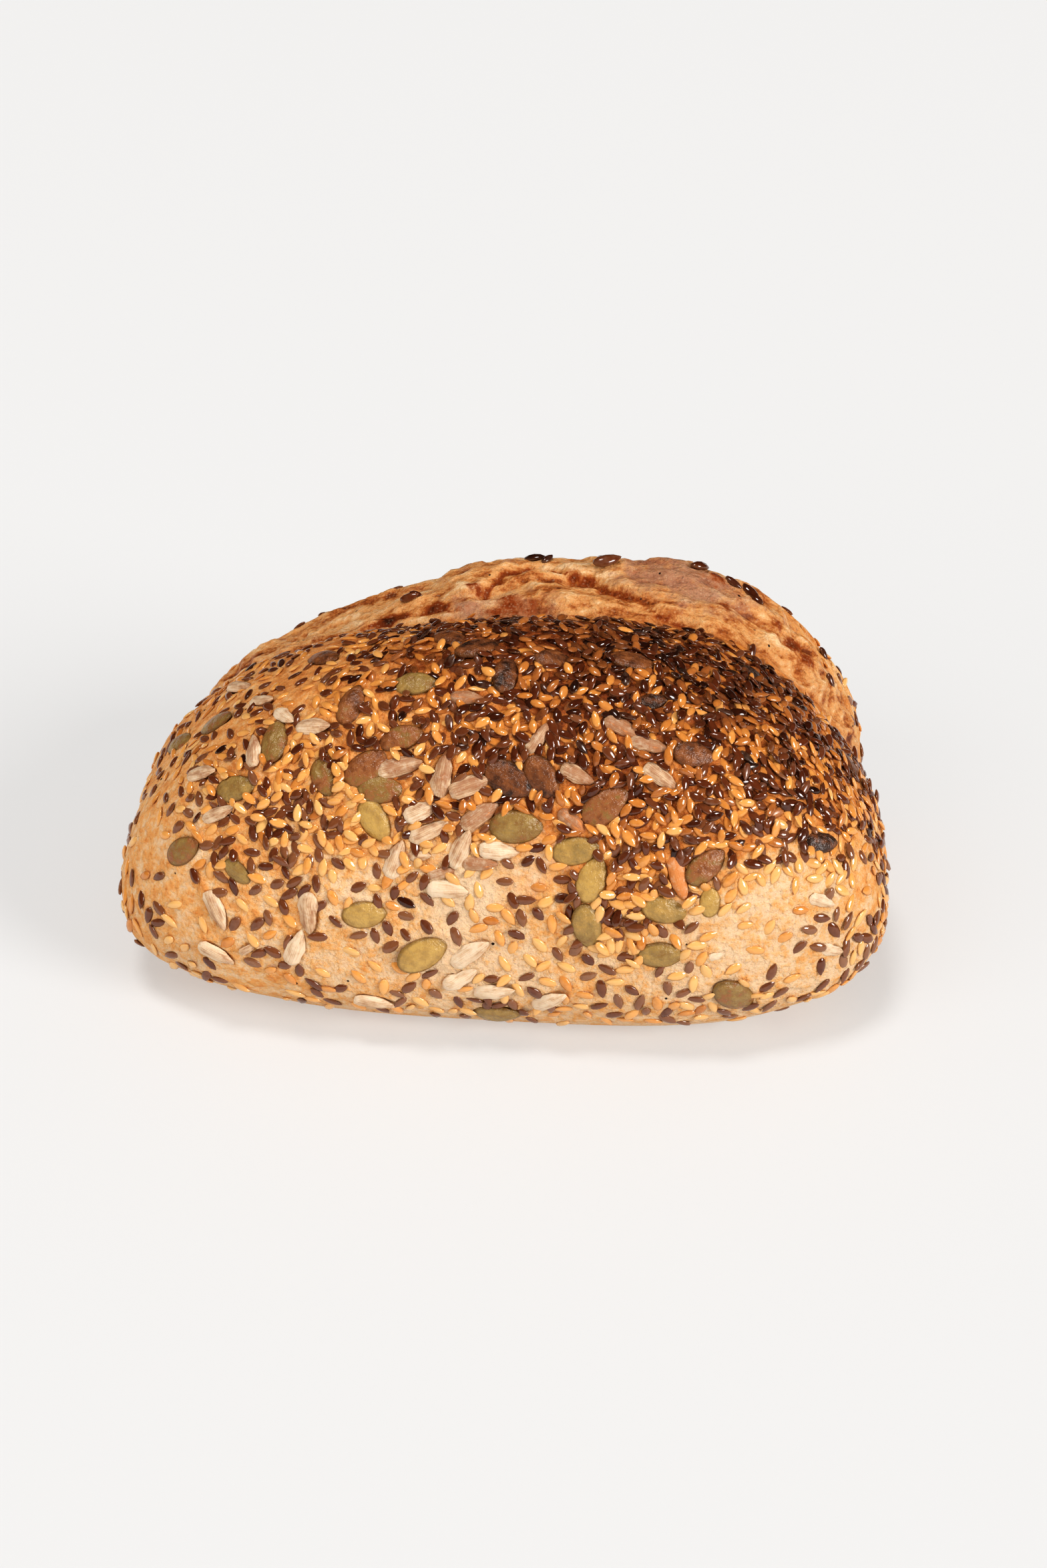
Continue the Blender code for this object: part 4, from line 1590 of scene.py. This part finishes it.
class LOAF_OT_brown_linseeds(Operator):
    """Strew the brown linseeds over the crust"""

    bl_idname = "loaf.brown_linseeds"
    bl_label = "Brown Linseeds"

    def execute(self, context):
        seeds = [seed for seed, golden in all_linseeds() if not golden]
        finish = linseed_finish("brown_linseed_finish", BROWN_LINSEED_COLOURS, BROWN_DUST)
        build_seeds("brown_linseeds", seeds, linseed_variants(), finish)
        return {"FINISHED"}


class LOAF_OT_golden_linseeds(Operator):
    """Strew the golden linseeds over the crust"""

    bl_idname = "loaf.golden_linseeds"
    bl_label = "Golden Linseeds"

    def execute(self, context):
        seeds = [seed for seed, golden in all_linseeds() if golden]
        finish = linseed_finish("golden_linseed_finish", GOLDEN_LINSEED_COLOURS, GOLDEN_DUST)
        build_seeds("golden_linseeds", seeds, linseed_variants(), finish)
        return {"FINISHED"}


class LOAF_OT_stage(Operator):
    """Set up the plain pale floor, the soft lights and the camera"""

    bl_idname = "loaf.stage"
    bl_label = "Floor, Lights and Camera"

    def execute(self, context):
        stage = context.scene.loaf_stage
        self.floor(stage)
        for name, place, spread, mirrored in LIGHTS:
            power = getattr(stage, name + "_power")
            self.light(name + "_light", place, math.radians(spread), power, mirrored)
        self.surroundings(context, stage)
        self.camera(context)
        context.scene.view_settings.view_transform = "Standard"
        context.scene.view_settings.look = "High Contrast"
        return {"FINISHED"}

    def floor(self, stage):
        bpy.ops.object.select_all(action="DESELECT")
        bpy.ops.mesh.primitive_plane_add(size=stage.floor_size)
        floor = bpy.context.object
        floor.name = "floor"
        finish = Finish("pale_floor")
        cloudy = finish.noise(FLOOR_CLOUD, detail=1.0)
        shade = finish.mix(cloudy, tuple(stage.floor_colour), FLOOR_CLOUD_COLOUR)
        finish.surface(Base_Color=shade, Roughness=0.75, Emission_Color=ROOM_COLOUR, Emission_Strength=0.30)
        floor.data.materials.append(finish.material)

    def light(self, name, place, spread, power, mirrored):
        """A distant soft light that faces the loaf, as wide in the sky as its spread."""
        bpy.ops.object.select_all(action="DESELECT")
        facing = (Vector(place) - CAMERA_TARGET).to_track_quat("Z", "Y")
        bpy.ops.object.light_add(type="SUN", location=place, rotation=facing.to_euler())
        light = bpy.context.object
        light.name = name
        light.data.angle = spread
        light.data.energy = power
        light.visible_glossy = mirrored

    def surroundings(self, context, stage):
        world = bpy.data.worlds.new("pale_room")
        world.use_nodes = True
        background = world.node_tree.nodes["Background"]
        background.inputs["Color"].default_value = ROOM_COLOUR
        background.inputs["Strength"].default_value = stage.sky
        context.scene.world = world
        world.cycles_visibility.glossy = False

    def camera(self, context):
        right, up, back = camera_axes()
        bpy.ops.object.camera_add(location=camera_place())
        camera = context.object
        camera.name = "photo_camera"
        camera.rotation_euler = Matrix((right, up, back)).transposed().to_euler()
        focal = PIXELS_PER_METRE * CAMERA_DISTANCE
        camera.data.sensor_width = SENSOR * 1000
        camera.data.lens = SENSOR * 1000 * focal / max(PHOTO_SIZE)
        camera.data.clip_start, camera.data.clip_end = CAMERA_CLIP
        context.scene.camera = camera


class LOAF_PT_panel(Panel):
    """Lists the pieces of the loaf"""

    bl_idname = "LOAF_PT_panel"
    bl_label = "Seeded Multigrain Loaf"
    bl_space_type = "VIEW_3D"
    bl_region_type = "UI"
    bl_category = "Loaf"

    def draw(self, context):
        for settings in (context.scene.loaf_seeds, context.scene.loaf_stage):
            box = self.layout.box()
            for key in settings.__annotations__:
                box.prop(settings, key)
        for operator in OPERATORS:
            self.layout.operator(operator.bl_idname)


OPERATORS = (
    LOAF_OT_crust,
    LOAF_OT_pumpkin_seeds,
    LOAF_OT_sunflower_kernels,
    LOAF_OT_brown_linseeds,
    LOAF_OT_golden_linseeds,
    LOAF_OT_stage,
)
CLASSES = (LoafSeeds, LoafStage, *OPERATORS, LOAF_PT_panel)


def register():
    for cls in CLASSES:
        bpy.utils.register_class(cls)
    bpy.types.Scene.loaf_seeds = PointerProperty(type=LoafSeeds)
    bpy.types.Scene.loaf_stage = PointerProperty(type=LoafStage)


def unregister():
    del bpy.types.Scene.loaf_stage
    del bpy.types.Scene.loaf_seeds
    for cls in reversed(CLASSES):
        bpy.utils.unregister_class(cls)


def main():
    register()
    bpy.ops.loaf.crust()
    bpy.ops.loaf.pumpkin_seeds()
    bpy.ops.loaf.sunflower_kernels()
    bpy.ops.loaf.brown_linseeds()
    bpy.ops.loaf.golden_linseeds()
    bpy.ops.loaf.stage()


if __name__ == "__main__":
    main()
